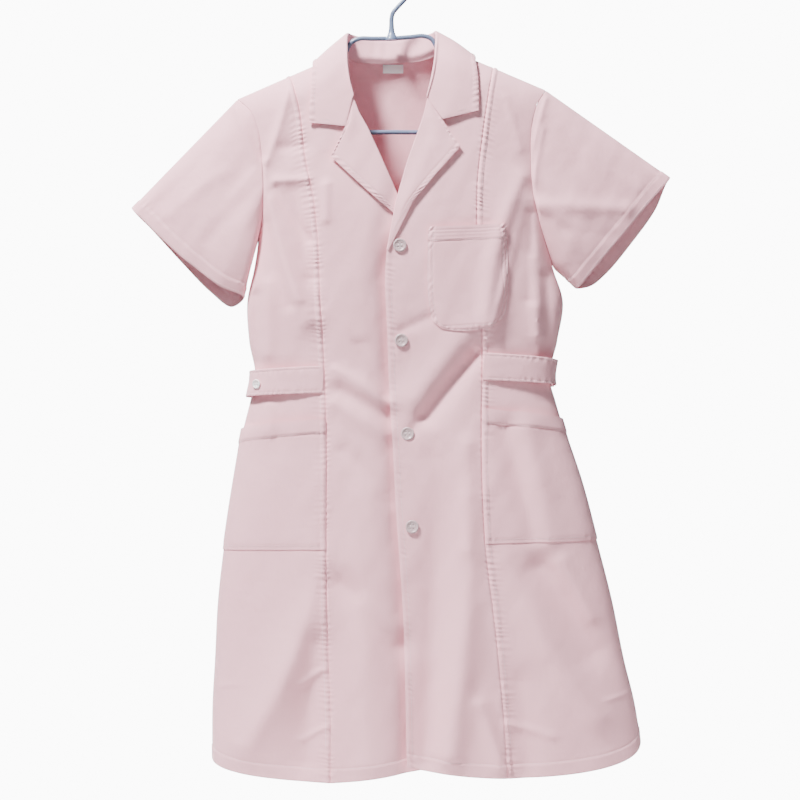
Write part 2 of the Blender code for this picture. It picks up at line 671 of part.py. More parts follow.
def buttons():
    """Four on the left front's edge, and one on each waist tab near its end."""
    for number, (x, drop) in enumerate(FRONT_BUTTONS, 1):
        point, normal = body_point(x, drop, FRONT, BUTTON_GAP)
        button(f"front_button_{number}", point, normal, BUTTON_RADIUS)
    for side, (angle, drop) in TAB_BUTTONS.items():
        tab = TABS["waist_tab_" + side]
        along = (angle - tab["angles"][0]) / (tab["angles"][1] - tab["angles"][0])
        spread = np.array([[angle - BESIDE, angle, angle + BESIDE]])
        before, point, after = around(spread, np.full((1, 3), float(drop)), tab_lift(along, tab["lifts"]))[0]
        normal = np.cross((0, 0, 1.0), after - before)
        normal *= np.sign(normal @ (point * (1, 1, 0))) / np.linalg.norm(normal)
        button("tab_button_" + side, point + normal * TAB_BUTTON_GAP, normal, TAB_BUTTON_RADIUS)


def neck_label():
    """A blank woven label that hangs from the back neck seam, inside."""
    x = LABEL_X + np.linspace(-0.5, 0.5, 4)[None, :] * LABEL_WIDTH + np.zeros((3, 1))
    drop = LABEL_TOP + np.linspace(0, 1, 3)[:, None] * LABEL_HEIGHT + 0 * x
    near, normal = body_point(x, drop, BACK, -WALL - LABEL_GAP - LABEL_WALL)
    wall("neck_label", near + normal * LABEL_WALL, near, LABEL)


# The hanger's right arm from the stem to the cross bar. The left arm mirrors it, moved by its own offsets.
ARM = columns(
    "x drop",
    (0, 84), (25, 84), (44, 84.5), (53, 89), (59, 99), (68, 112.5), (88, 121.5), (120, 135.5), (155, 151),
    (174, 160), (180, 170), (181, 184), (178, 197), (168, 206.5), (150, 208), (60, 208), (3, 207.5),
)
LEFT_ARM_RISE = columns("x rise", (0, 0), (60, 5), (90, 10), (150, 12), (181, 13))
ARM_BEND = (160, 206)
ARM_STEPS = 30
TUBE_SIDES = 8


def tube_along(points, radius, ring):
    """Points round a path that lies in the hanger's plane, one circle for each point of the path."""
    count = len(points)
    if ring:
        tangent = np.roll(points, -1, axis=0) - np.roll(points, 1, axis=0)
    else:
        tangent = np.gradient(points, axis=0)
    tangent /= np.linalg.norm(tangent, axis=1, keepdims=True)
    side = np.array([0.0, 1.0, 0.0])
    up = np.cross(tangent, side)
    turn = (np.arange(TUBE_SIDES) + 0.5) * 2 * math.pi / TUBE_SIDES
    reach = np.broadcast_to(np.asarray(radius, float), (count,))[:, None, None]
    offsets = np.cos(turn)[None, :, None] * side + np.sin(turn)[None, :, None] * up[:, None, :]
    return points[:, None, :] + offsets * reach


def tube(name, points, radius, ring=False):
    """A closed tube along a path, as a loop or with flat ends."""
    rounds = tube_along(points, radius, ring)
    count = len(points)
    faces = []
    for i in range(count if ring else count - 1):
        j = (i + 1) % count
        for k in range(TUBE_SIDES):
            m = (k + 1) % TUBE_SIDES
            faces.append((i * TUBE_SIDES + k, i * TUBE_SIDES + m, j * TUBE_SIDES + m, j * TUBE_SIDES + k))
    if not ring:
        faces.append(tuple(range(TUBE_SIDES - 1, -1, -1)))
        faces.append(tuple((count - 1) * TUBE_SIDES + k for k in range(TUBE_SIDES)))
    return add_object(name, rounds.reshape(-1, 3), faces, HANGER, roughness=0.4)


# The hook's turn in degrees from +X, and the stem from its flared foot up to the hook
HOOK_START, HOOK_END = -48.0, 200.0
HOOK_STEPS = 20
STEM = columns(
    "x drop radius",
    (0, 86, 8.6), (0, 83.5, 8.2), (0, 79, 5.6), (0, 74, 4.0), (0, 66, 3.2), (0, 58, 3.0), (2, 50, 3.0),
    (7.5, 43, 3.0),
)


def hanger():
    """Arms and cross bar as one loop of tube, joined to the stem and the hook over it."""
    length = np.concatenate([[0], np.cumsum(np.hypot(np.diff(ARM["x"]), np.diff(ARM["drop"])))])
    at = np.linspace(0, length[-1], ARM_STEPS)
    arm_x, arm_drop = smooth(at, length, ARM["x"]), smooth(at, length, ARM["drop"])
    rise = np.interp(arm_x, LEFT_ARM_RISE["x"], LEFT_ARM_RISE["rise"]) * (1 - ease(arm_drop, *ARM_BEND))
    right = np.stack([-arm_x, 0 * arm_x, -arm_drop], axis=-1)
    left = np.stack([arm_x, 0 * arm_x, -(arm_drop - rise)], axis=-1)
    loop = tube("hanger", np.concatenate([right, left[-2:0:-1]]), HANGER_TUBE_RADIUS, ring=True)

    turn = np.radians(np.linspace(HOOK_START, HOOK_END, HOOK_STEPS))
    reach = HOOK_RADIUS + HANGER_TUBE_RADIUS
    bend = np.stack([reach * np.cos(turn), 0 * turn, reach * np.sin(turn) - HOOK_RADIUS], axis=-1)
    stem = np.stack([STEM["x"], 0 * STEM["x"], -STEM["drop"]], axis=-1)
    radius = np.concatenate([STEM["radius"], np.full(HOOK_STEPS, HANGER_TUBE_RADIUS)])
    hook = tube("hanger_hook", np.concatenate([stem, bend]), radius)
    hook.hide_render = True
    hook.display_type = "WIRE"
    join = loop.modifiers.new("join", "BOOLEAN")
    join.operation = "UNION"
    join.object = hook


def main():
    """Clears the scene and builds the dress and its hanger."""
    for old in list(bpy.data.objects):
        bpy.data.objects.remove(old)
    front_panels()
    back_panel()
    sleeve("right", CUFF_RIGHT)
    sleeve("left", CUFF_LEFT)
    collar()
    lapel("right", LAPEL_RIGHT)
    lapel("left", LAPEL_LEFT)
    chest_pocket()
    for name, sizes in TABS.items():
        waist_tab(name, **sizes)
    buttons()
    neck_label()
    hanger()


main()
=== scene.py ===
"""Nurse dress on its hanger: cloth, seams, stitches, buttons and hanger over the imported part.

Sizes are in millimetres and become metres when a mesh is made. The dress faces -Y, +X is the wearer's left,
and a drop is the distance below the origin, the point of the hook's inner curve that rests on a rail. Right
and left in names are the wearer's.
"""

import logging
import math
from dataclasses import dataclass, field
from enum import Enum

import bpy
import numpy as np
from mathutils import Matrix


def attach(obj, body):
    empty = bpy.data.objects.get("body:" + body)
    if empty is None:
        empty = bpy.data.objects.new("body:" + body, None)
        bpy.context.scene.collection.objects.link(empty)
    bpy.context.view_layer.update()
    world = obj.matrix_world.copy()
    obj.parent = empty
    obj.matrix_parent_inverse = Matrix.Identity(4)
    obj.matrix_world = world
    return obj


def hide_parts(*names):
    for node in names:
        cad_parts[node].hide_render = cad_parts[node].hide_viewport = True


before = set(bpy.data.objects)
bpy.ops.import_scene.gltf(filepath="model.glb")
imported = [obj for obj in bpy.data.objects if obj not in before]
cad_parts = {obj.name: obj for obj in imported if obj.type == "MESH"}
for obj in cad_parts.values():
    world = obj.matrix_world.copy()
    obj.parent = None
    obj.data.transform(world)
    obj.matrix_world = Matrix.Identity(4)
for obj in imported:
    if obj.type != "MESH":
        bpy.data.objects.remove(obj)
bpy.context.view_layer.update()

Array = np.ndarray
Table = dict[str, Array]
METRE = 0.001
BODY = "root"
log = logging.getLogger("dress")


def columns(names: str, *rows: tuple) -> Table:
    """One array for each named column of a table.

    Args:
        names: the columns' names, with spaces between them.
        rows: the table's rows.

    Returns:
        The columns by name.
    """
    return dict(zip(names.split(), np.array(rows, float).T))


class Side(Enum):
    """The wearer's side, with the way it lies along X."""

    RIGHT = -1
    LEFT = 1

    @property
    def word(self) -> str:
        """The side as it stands in a piece's name."""
        return self.name.lower()


class Face(Enum):
    """Which half of the dress a point lies on."""

    FRONT = 1
    BACK = -1


# The dress as a flattened tube: its two side edges and how far it stands out in front and behind
TUBE = columns(
    "drop left right front back",
    (60, -212, 218, 20, 18),
    (112, -211, 217, 27, 24),
    (165, -208, 212, 34, 32),
    (244, -188, 203, 42, 38),
    (297, -179, 203, 47, 40),
    (350, -176, 206, 49, 41),
    (387, -181, 213, 49, 41),
    (429, -190, 226, 48, 40),
    (482, -188, 219, 46, 38),
    (535, -180, 209, 45, 37),
    (561, -186, 216, 46, 38),
    (601, -196, 228, 49, 40),
    (667, -208, 250, 54, 44),
    (746, -220, 271, 58, 48),
    (825, -229, 291, 62, 51),
    (904, -233, 307, 66, 54),
    (957, -236, 320, 68, 56),
    (1060, -236, 334, 70, 58),
)
SHOULDER = columns("x drop", (-203, 164), (-68, 105), (71, 96), (203, 152))
BACK_NECK = columns("x drop", (-68, 105), (-52, 112), (-20, 115), (20, 112), (52, 108), (71, 96))
PRINCESS = {
    Side.RIGHT: columns(
        "drop x",
        (133, -133), (177, -121), (248, -112), (296, -102), (342, -97), (428, -93), (474, -90), (562, -86),
        (610, -85), (751, -85), (894, -82), (974, -79), (1059, -79),
    ),
    Side.LEFT: columns(
        "drop x",
        (122, 134), (149, 129), (219, 119), (272, 113), (326, 112), (416, 116), (470, 118), (533, 119),
        (595, 118), (676, 119), (756, 123), (838, 133), (904, 140), (969, 146), (1053, 151),
    ),
}
EDGE = {
    Side.RIGHT: columns(
        "drop x",
        (105, -68), (125, -63), (145, -57), (162, -52), (189, -42), (206, -31), (263, -6), (296, 9),
        (330, 23), (366, 29), (483, 31), (605, 38), (726, 44), (1038, 52),
    ),
    Side.LEFT: columns(
        "drop x",
        (96, 71), (120, 64), (145, 57), (165, 49), (186, 44), (205, 38), (230, 28), (296, 9), (366, -6),
        (484, -5), (562, -2), (610, 1), (705, 6), (803, 13), (857, 16), (933, 18), (1038, 20),
    ),
}
ARMHOLE = {
    Side.RIGHT: columns(
        "drop x", (164, -203), (180, -186), (200, -177), (244, -170), (298, -168), (325, -170), (350, -176),
    ),
    Side.LEFT: columns(
        "drop x", (152, 203), (170, 192), (199, 184), (244, 182), (288, 185), (331, 195), (387, 213),
    ),
}

# Where each seam or edge leaves the shoulder seam, and its levels at the underarm, the waist, the lower
# pocket's top and bottom, and the hem
LEVELS = {
    ("edge", Side.RIGHT): (-68, (330, 522, 578, 755, 1038)),
    ("princess", Side.RIGHT): (-133, (340, 534, 585, 756, 1059)),
    ("side", Side.RIGHT): (-203, (350, 532, 601, 758, 1031)),
    ("edge", Side.LEFT): (71, (345, 508, 562, 752, 1038)),
    ("princess", Side.LEFT): (134, (365, 517, 572, 748, 1053)),
    ("side", Side.LEFT): (203, (387, 528, 588, 744, 1008)),
}
SHOULDER_STEPS = (0.002, 3.0, 11.0, 23.0, 40.0)
ARMHOLE_ROWS, WAIST_ROWS, TAB_ROWS, POCKET_ROWS, SKIRT_ROWS = 5, 4, 2, 4, 6
UNDERARM_ROW = len(SHOULDER_STEPS) + ARMHOLE_ROWS - 1
WAIST_ROW = UNDERARM_ROW + WAIST_ROWS
POCKET_ROW = WAIST_ROW + TAB_ROWS
POCKET_END_ROW = POCKET_ROW + POCKET_ROWS
LAST_ROW = POCKET_END_ROW + SKIRT_ROWS

# Folds of the cloth: a line from one point to another, how far it bows sideways, its rise and half width.
# The first 26 lie where the front solids have theirs, and the rest are finer creases.
FRONT_FOLDS = columns(
    "x0 drop0 x1 drop1 bow rise width",
    (-134, 160, -166, 260, 4, 4.7, 12),
    (-166, 285, -109, 455, -8, 9.5, 17),
    (-128, 290, -106, 400, 0, -5.4, 13),
    (-163, 410, -162, 500, 0, 5.4, 9),
    (-160, 570, -160, 600, 0, 4.1, 9),
    (-180, 425, -180, 510, 0, -12.0, 9),
    (-184, 552, -188, 590, 0, -9.0, 8),
    (-70, 530, -6, 566, 0, 5.4, 14),
    (-74, 565, -6, 605, 0, 4.7, 13),
    (-66, 548, -8, 582, 0, -4.7, 11),
    (-92, 775, -190, 1012, 12, 16.9, 28),
    (-100, 880, -112, 1030, 0, -8.5, 22),
    (-68, 800, 6, 880, 6, -8.5, 20),
    (-40, 690, -30, 1030, 0, 6.8, 24),
    (110, 500, 46, 584, 0, -8.8, 12),
    (100, 470, 30, 560, 0, 4.7, 18),
    (105, 690, 76, 1020, 6, 12.6, 20),
    (60, 640, 48, 1030, 0, -8.5, 20),
    (172, 270, 124, 460, -10, 8.8, 14),
    (186, 300, 193, 475, 0, 8.1, 11),
    (203, 400, 206, 500, 0, -7.0, 9),
    (150, 600, 186, 735, 0, -8.1, 17),
    (178, 600, 206, 745, 0, 6.8, 18),
    (196, 780, 262, 890, 0, -13.5, 22),
    (150, 770, 268, 975, -8, 10.1, 22),
    (165, 930, 178, 1045, 0, -6.8, 22),
    (-135, 150, -165, 250, 3, 3.7, 5),
    (-165, 248, -166, 292, 0, 3.4, 5),
    (-160, 300, -121, 430, -3, 4.2, 7),
    (-150, 284, -108, 350, -2, -4.2, 7),
    (-163, 330, -134, 436, -3, -5.1, 8),
    (-153, 274, -110, 272, 0, 3.7, 6),
    (-143, 230, -117, 228, 0, -3.1, 9),
    (-85, 280, -86, 325, 0, 3.4, 6),
    (-75, 520, -10, 560, 2, 2.0, 5),
    (-42, 488, -8, 554, -2, -3.4, 7),
    (-61, 627, -3, 693, 3, -3.1, 10),
    (-95, 790, -188, 1010, 10, 3.1, 8),
    (-114, 930, -88, 911, 1, 2.5, 4),
    (-114, 1003, -84, 986, 1, 2.5, 4),
    (-233, 937, -207, 933, 0, 2.1, 4),
    (-35, 826, 4, 858, 0, 4.2, 14),
    (117, 957, 143, 1036, 0, 6.4, 10),
    (222, 772, 262, 845, 0, 6.4, 10),
    (282, 953, 308, 946, 0, 2.5, 4),
    (150, 983, 209, 1000, 2, 2.8, 5),
    (110, 500, 24, 605, -4, -3.1, 6),
    (14, 470, 52, 452, 0, -2.5, 7),
    (100, 620, 98, 755, 0, 4.2, 14),
    (150, 165, 170, 231, 0, 2.0, 7),
    (180, 284, 127, 480, 0, 3.7, 6),
    (184, 317, 184, 429, 0, -6.8, 8),
    (184, 376, 194, 500, 0, 3.1, 5),
)
BACK_FOLDS = columns(
    "x0 drop0 x1 drop1 bow rise width",
    (-120, 240, -80, 470, 6, 7.0, 22),
    (130, 240, 95, 460, -6, 7.0, 22),
    (0, 600, -20, 1020, 0, 9.8, 30),
    (-70, 610, -120, 1020, 8, -8.4, 28),
    (90, 620, 150, 1010, -8, 9.8, 30),
    (-130, 650, -180, 1020, 0, 9.8, 26),
    (190, 620, 240, 1000, 0, -8.4, 26),
    (-20, 140, -25, 300, 0, 4.2, 16),
    (-150, 300, -96, 372, 3, 2.8, 8),
    (-140, 332, -88, 420, 3, -2.5, 9),
    (158, 318, 104, 390, -3, 3.1, 8),
    (150, 352, 98, 436, -3, -2.5, 9),
    (-92, 520, -24, 548, 2, 2.2, 8),
    (96, 520, 30, 556, 2, 2.2, 8),
    (-60, 470, -14, 512, 0, -2.1, 9),
    (48, 700, 92, 900, 4, -2.5, 12),
    (-40, 760, -66, 960, 4, 2.5, 12),
    (-150, 880, -112, 868, 0, 1.7, 5),
    (140, 930, 176, 918, 0, 1.7, 5),
)
SLEEVE_FOLDS = {
    Side.RIGHT: columns(
        "x0 drop0 x1 drop1 bow rise width",
        (-203, 180, -178, 245, 0, 2.5, 6),
        (-290, 318, -222, 262, 3, 1.6, 9),
        (-240, 352, -196, 300, 2, -1.6, 9),
        (-300, 300, -246, 240, 0, -1.2, 12),
    ),
    Side.LEFT: columns(
        "x0 drop0 x1 drop1 bow rise width",
        (190, 306, 308, 310, 0, 4.0, 9),
        (202, 165, 185, 231, 0, 2.0, 5),
        (199, 205, 185, 277, 0, 2.0, 5),
        (322, 282, 262, 236, 3, 1.5, 10),
        (226, 336, 290, 348, 0, -1.6, 9),
    ),
}


# A fold longer than this grows along its line, from one share of its rise to another over a part of it
LONG_FOLD, FOLD_START, FOLD_FULL, FOLD_GROWTH = 200.0, 0.25, 1.1, 0.6
# Half the power of the distance in a fold's bell: 1 is round, and less is crisper
FOLD_CREST = 0.85

# A seam's wave: how far its beat drifts and over how many periods, and how much its height swells
SLOW_DRIFT, SLOW_PERIODS, FAST_DRIFT = 2.2, 7.3, 1.2
SWELL, LONG_SWELL, LONG_PERIODS, SHORT_SWELL, SHORT_PERIODS = 0.68, 0.22, 11.7, 0.15, 3.1


def smooth(at: Array, places: Array, values: Array) -> Array:
    """A smooth curve through a table's values: a cubic between each two places, whose slopes there are the
    table's own central differences.

    Args:
        at: the places to read.
        places: the table's places, rising.
        values: the table's values.

    Returns:
        The value at each place.
    """
    at = np.clip(np.asarray(at, float), places[0], places[-1])
    slope = np.gradient(values, places)
    i = np.clip(np.searchsorted(places, at, side="right") - 1, 0, len(places) - 2)
    step = places[i + 1] - places[i]
    t = (at - places[i]) / step
    start = (1 + 2 * t) * (1 - t) ** 2 * values[i] + t * (1 - t) ** 2 * step * slope[i]
    end = t * t * (3 - 2 * t) * values[i + 1] + t * t * (t - 1) * step * slope[i + 1]
    return start + end


def ease(value: Array, start: float, end: float) -> Array:
    """0 before start and 1 past end, with 3t² - 2t³ between them."""
    t = np.clip((value - start) / (end - start), 0.0, 1.0)
    return t * t * (3 - 2 * t)


def bell(value: Array, middle: float, width: float) -> Array:
    """A bell of height 1 round a middle, e to the minus square of the distance in widths."""
    return np.exp(-(((value - middle) / width) ** 2))


def dent(distance: Array, size: tuple[float, float]) -> Array:
    """A bell-shaped hollow where a distance is 0, whose size is its depth and its width."""
    depth, width = size
    return -depth * bell(distance, 0.0, width)


def unit(vector: Array) -> Array:
    """Vectors at length 1."""
    return vector / np.maximum(np.linalg.norm(vector, axis=-1, keepdims=True), 1e-12)


def crowded(count: int, strength: float = 0.6) -> Array:
    """Places from 0 to 1 that lie closer together near both ends: t less a sine of strength over 2 pi."""
    t = np.linspace(0, 1, count + 1)
    return t - strength * np.sin(2 * math.pi * t) / (2 * math.pi)


def wander(along: Array, period: float, phase: float) -> Array:
    """An uneven wave along a seam: a sine whose beat drifts, and whose height swells and fades.

    Args:
        along: distances along the seam.
        period: the wave's usual length.
        phase: sets one seam apart from the next.

    Returns:
        Heights from about -1 to 1.
    """
    turn = 2 * math.pi * along / period
    drift = SLOW_DRIFT * np.sin(turn / SLOW_PERIODS + phase) + FAST_DRIFT * np.sin(along / period + 2 * phase)
    swell = SWELL + LONG_SWELL * np.sin(turn / LONG_PERIODS + 3 * phase)
    swell = swell + SHORT_SWELL * np.sin(turn / SHORT_PERIODS + phase)
    return np.sin(turn + drift) * swell


def turned_under(distance: Array, line: float, half: float = 1.0) -> Array:
    """1 on cloth that is turned under as far as a line and 0 past it, eased over a half width each way."""
    return 1 - ease(distance, line - half, line + half)


def fold_rise(folds: Table, x: Array, drop: Array) -> Array:
    """The height of all folds of a table at a point. Each is a bell with a crisp crest (to the power 1.7
    of the distance) across its line, which bows as a parabola, and it falls off past the line's ends too.
    A long fold grows along the first part of its line.

    Args:
        folds: the table of folds.
        x: places along X.
        drop: distances below the origin.

    Returns:
        The sum of the folds' heights.
    """
    x, drop = np.asarray(x)[..., None], np.asarray(drop)[..., None]
    run_x, run_drop = folds["x1"] - folds["x0"], folds["drop1"] - folds["drop0"]
    length = np.hypot(run_x, run_drop)
    along = ((x - folds["x0"]) * run_x + (drop - folds["drop0"]) * run_drop) / length**2
    aside = ((x - folds["x0"]) * run_drop - (drop - folds["drop0"]) * run_x) / length
    inside = np.clip(along, 0, 1)
    aside = aside - folds["bow"] * 4 * inside * (1 - inside)
    past = (along - inside) * length
    growing = FOLD_START + (FOLD_FULL - FOLD_START) * ease(inside, 0.0, FOLD_GROWTH)
    grown = np.where(length > LONG_FOLD, growing, 1.0)
    bells = np.exp(-(((aside**2 + past**2) / folds["width"] ** 2) ** FOLD_CREST))
    return (folds["rise"] * grown * bells).sum(axis=-1)


def ripple(x: Array, drop: Array) -> Array:
    """The slight unevenness of hung cloth: three crossing sines, about 26 to 66 mm long and at most 0.35 mm
    high."""
    turn = 2 * math.pi
    slow = 0.35 * np.sin(turn * (x / 71 + drop / 173) + 0.8 * np.sin(turn * drop / 131))
    middle = 0.28 * np.sin(turn * (x / 47 - drop / 97) + 1.0 + 0.7 * np.sin(turn * x / 83))
    return slow + middle + 0.14 * np.sin(turn * (x / 29 + drop / 61) + 2.0)


@dataclass(frozen=True)
class DressForm:
    """The shape that every panel follows: a flattened tube that rounds over at the shoulders."""

    flatness: float = 0.35
    shoulder_round: float = 40.0
    edge_depth: float = 0.2
    lap_depth: float = 4.5
    lap_blend: float = 26.0
    lap_ease: float = 6.0
    lap_top: float = 225.0
    lap_full: float = 290.0
    slope_step: float = 0.2
    armhole_snap: float = 0.01

    def frame(self, drop: Array) -> tuple[Array, Array]:
        """The middle and the half width of the dress at a drop."""
        left, right = (smooth(drop, TUBE["drop"], TUBE[key]) for key in ("left", "right"))
        return (left + right) / 2, (right - left) / 2

    def lap(self, x: Array, drop: Array) -> Array:
        """How deep the right front lies behind the left one near the buttons."""
        edge = self.seam_x(EDGE[Side.LEFT], drop)
        across = ease(x, edge - self.lap_blend - self.lap_ease, edge - self.lap_ease)
        return self.lap_depth * across * ease(drop, self.lap_top, self.lap_full)

    @staticmethod
    def seam_x(table: Table, drop: Array) -> Array:
        """Where a seam or an edge lies at a drop."""
        return smooth(drop, table["drop"], table["x"])

    def depth(self, x: Array, drop: Array, face: Face, under: bool = False, plain: bool = False) -> Array:
        """How far the outer face stands from the hanger's plane: the tube's depth there, plus the folds,
        times (1 - t²) to the flatness across it and a quarter circle below the shoulder seam.

        Args:
            x: places along X.
            drop: distances below the origin.
            face: the front or the back.
            under: whether the cloth lies behind the left front's edge.
            plain: leaves the folds out.

        Returns:
            Depths, from 0 outwards.
        """
        middle, half = self.frame(drop)
        across = np.clip((x - middle) / half, -1, 1)
        depth = smooth(drop, TUBE["drop"], TUBE["front" if face is Face.FRONT else "back"])
        if not plain:
            folds = FRONT_FOLDS if face is Face.FRONT else BACK_FOLDS
            depth = depth + fold_rise(folds, x, drop) + ripple(x + 40 * face.value, drop)
        if under:
            depth = depth - self.lap(x, drop)
        below = np.clip((drop - np.interp(x, SHOULDER["x"], SHOULDER["drop"])) / self.shoulder_round, 0, 1)
        return depth * (1 - across**2) ** self.flatness * np.sqrt(below * (2 - below))

    def point(
        self, x: Array, drop: Array, face: Face, lift: Array | float = 0.0, under: bool = False,
        plain: bool = False,
    ) -> tuple[Array, Array]:
        """A point of the dress's outer face, moved out along the plain form's normal by a lift.

        Args:
            x: places along X.
            drop: distances below the origin.
            face: the front or the back.
            lift: how far out from the face.
            under: whether the cloth lies behind the left front's edge.
            plain: leaves the folds out.

        Returns:
            The points and the plain form's normals.
        """
        x, drop = np.broadcast_arrays(np.asarray(x, float), np.asarray(drop, float))
        depth = self.depth(x, drop, face, under, plain)
        flat = self.depth(x, drop, face, plain=True)
        right, left = (self.depth(x + way * self.slope_step, drop, face, plain=True) for way in (1, -1))
        slope_x = (right - left) / 2 / self.slope_step
        slope_drop = (self.depth(x, drop + self.slope_step, face, plain=True) - flat) / self.slope_step
        normal = unit(np.stack([-slope_x, -face.value * np.ones_like(x), slope_drop], axis=-1))
        point = np.stack([x, -face.value * np.maximum(depth, self.edge_depth), -drop], axis=-1)
        return point + normal * np.asarray(lift)[..., None], normal

    def around(self, angle: Array, drop: Array, lift: Array) -> Array:
        """Points round the plain waist: an angle is -90 to 90 degrees in front, and 90 to 270 behind."""
        middle, half = self.frame(drop)
        angle = np.radians(angle)
        x = middle + half * np.sin(angle)
        front, _ = self.point(x, drop, Face.FRONT, lift, plain=True)
        back, _ = self.point(x, drop, Face.BACK, lift, plain=True)
        return np.where((np.cos(angle) > 0)[..., None], front, back)

    def level(self, line: tuple[str, Side], row: Array) -> Array:
        """The drops of a seam at rows of the panels, which may lie between two whole rows."""
        seam_top, (underarm, waist, pocket, pocket_end, hem) = LEVELS[line]
        top = np.interp(seam_top, SHOULDER["x"], SHOULDER["drop"])
        parts = [top + np.array(SHOULDER_STEPS)]
        for start, end, count in (
            (top + SHOULDER_STEPS[-1], underarm, ARMHOLE_ROWS),
            (underarm, waist, WAIST_ROWS),
            (waist, pocket, TAB_ROWS),
            (pocket, pocket_end, POCKET_ROWS),
            (pocket_end, hem, SKIRT_ROWS),
        ):
            parts.append(np.linspace(start, end, count + 1)[1:])
        drops = np.concatenate(parts)
        return np.interp(row, np.arange(len(drops)), drops)

    def boundary_x(self, line: tuple[str, Side], drop: Array) -> Array:
        """Where a front edge, a princess seam, an armhole or the dress's own side lies at a drop."""
        kind, side = line
        if kind == "side":
            middle, half = self.frame(drop)
            table = ARMHOLE[side]
            armhole = drop < table["drop"][-1] - self.armhole_snap
            return np.where(armhole, self.seam_x(table, drop), middle + side.value * half)
        return self.seam_x({"edge": EDGE, "princess": PRINCESS}[kind][side], drop)

    def panel(
        self, near: tuple[str, Side], far: tuple[str, Side], across: Array, row: Array, sag: float
    ) -> tuple[Array, Array]:
        """x and drop over a panel between two boundaries: straight across at the top, evenly wrapped round
        the tube below the armholes, and sagging as a parabola at the hem.

        Args:
            near: the boundary of the first column.
            far: the boundary of the last column.
            across: the columns' places, 0 to 1.
            row: the rows' places, 0 to the last row.
            sag: how far the hem's middle hangs below its ends.

        Returns:
            x and drop as two grids.
        """
        across, row = across[None, :], row[:, None]
        near_drop, far_drop = self.level(near, row), self.level(far, row)
        near_x, far_x = self.boundary_x(near, near_drop), self.boundary_x(far, far_drop)
        low = np.clip((row - POCKET_END_ROW) / SKIRT_ROWS, 0, 1)
        drop = near_drop + (far_drop - near_drop) * across + sag * 4 * across * (1 - across) * low
        straight = near_x + (far_x - near_x) * across
        turns = []
        for x, level in ((near_x, near_drop), (far_x, far_drop)):
            middle, half = self.frame(level)
            turns.append(np.arcsin(np.clip((x - middle) / half, -1, 1)))
        middle, half = self.frame(drop)
        wrapped = middle + half * np.sin(turns[0] + (turns[1] - turns[0]) * across)
        return straight + (wrapped - straight) * ease(row, len(SHOULDER_STEPS), UNDERARM_ROW), drop


FORM = DressForm()


def rows_between(first: int, last: int, counts: dict[int, int]) -> Array:
    """Places of fine rows between two of the panels' own rows.

    Args:
        first: the row to start at.
        last: the row to end at.
        counts: from each row on, how many fine rows lie in every step.

    Returns:
        The rows' places, rising.
    """
    steps = [max(start for start in counts if start <= row) for row in range(first, last)]
    parts = [np.linspace(row, row + 1, counts[step] + 1)[:-1] for row, step in zip(range(first, last), steps)]
    return np.concatenate([*parts, [last]])


# How many fine rows lie in every step of the panels' rows, from each row on
FRONT_FINE = {
    0: 4, 2: 5, 3: 8, 4: 26, UNDERARM_ROW: 34, WAIST_ROW: 18, POCKET_ROW: 30, POCKET_END_ROW: 36,
}
BACK_FINE = {
    0: 4, 2: 5, 3: 7, 4: 13, UNDERARM_ROW: 17, WAIST_ROW: 10, POCKET_ROW: 15, POCKET_END_ROW: 18,
}


@dataclass
class Run:
    """A line on the cloth that thread follows: its points and the cloth's normals there."""

    points: Array
    normal: Array

    def part(self, start: float, end: float) -> "Run":
        """The stretch of the line between two shares of its count of points."""
        cut = slice(round(start * len(self.points)), round(end * len(self.points)))
        return Run(self.points[cut], self.normal[cut])


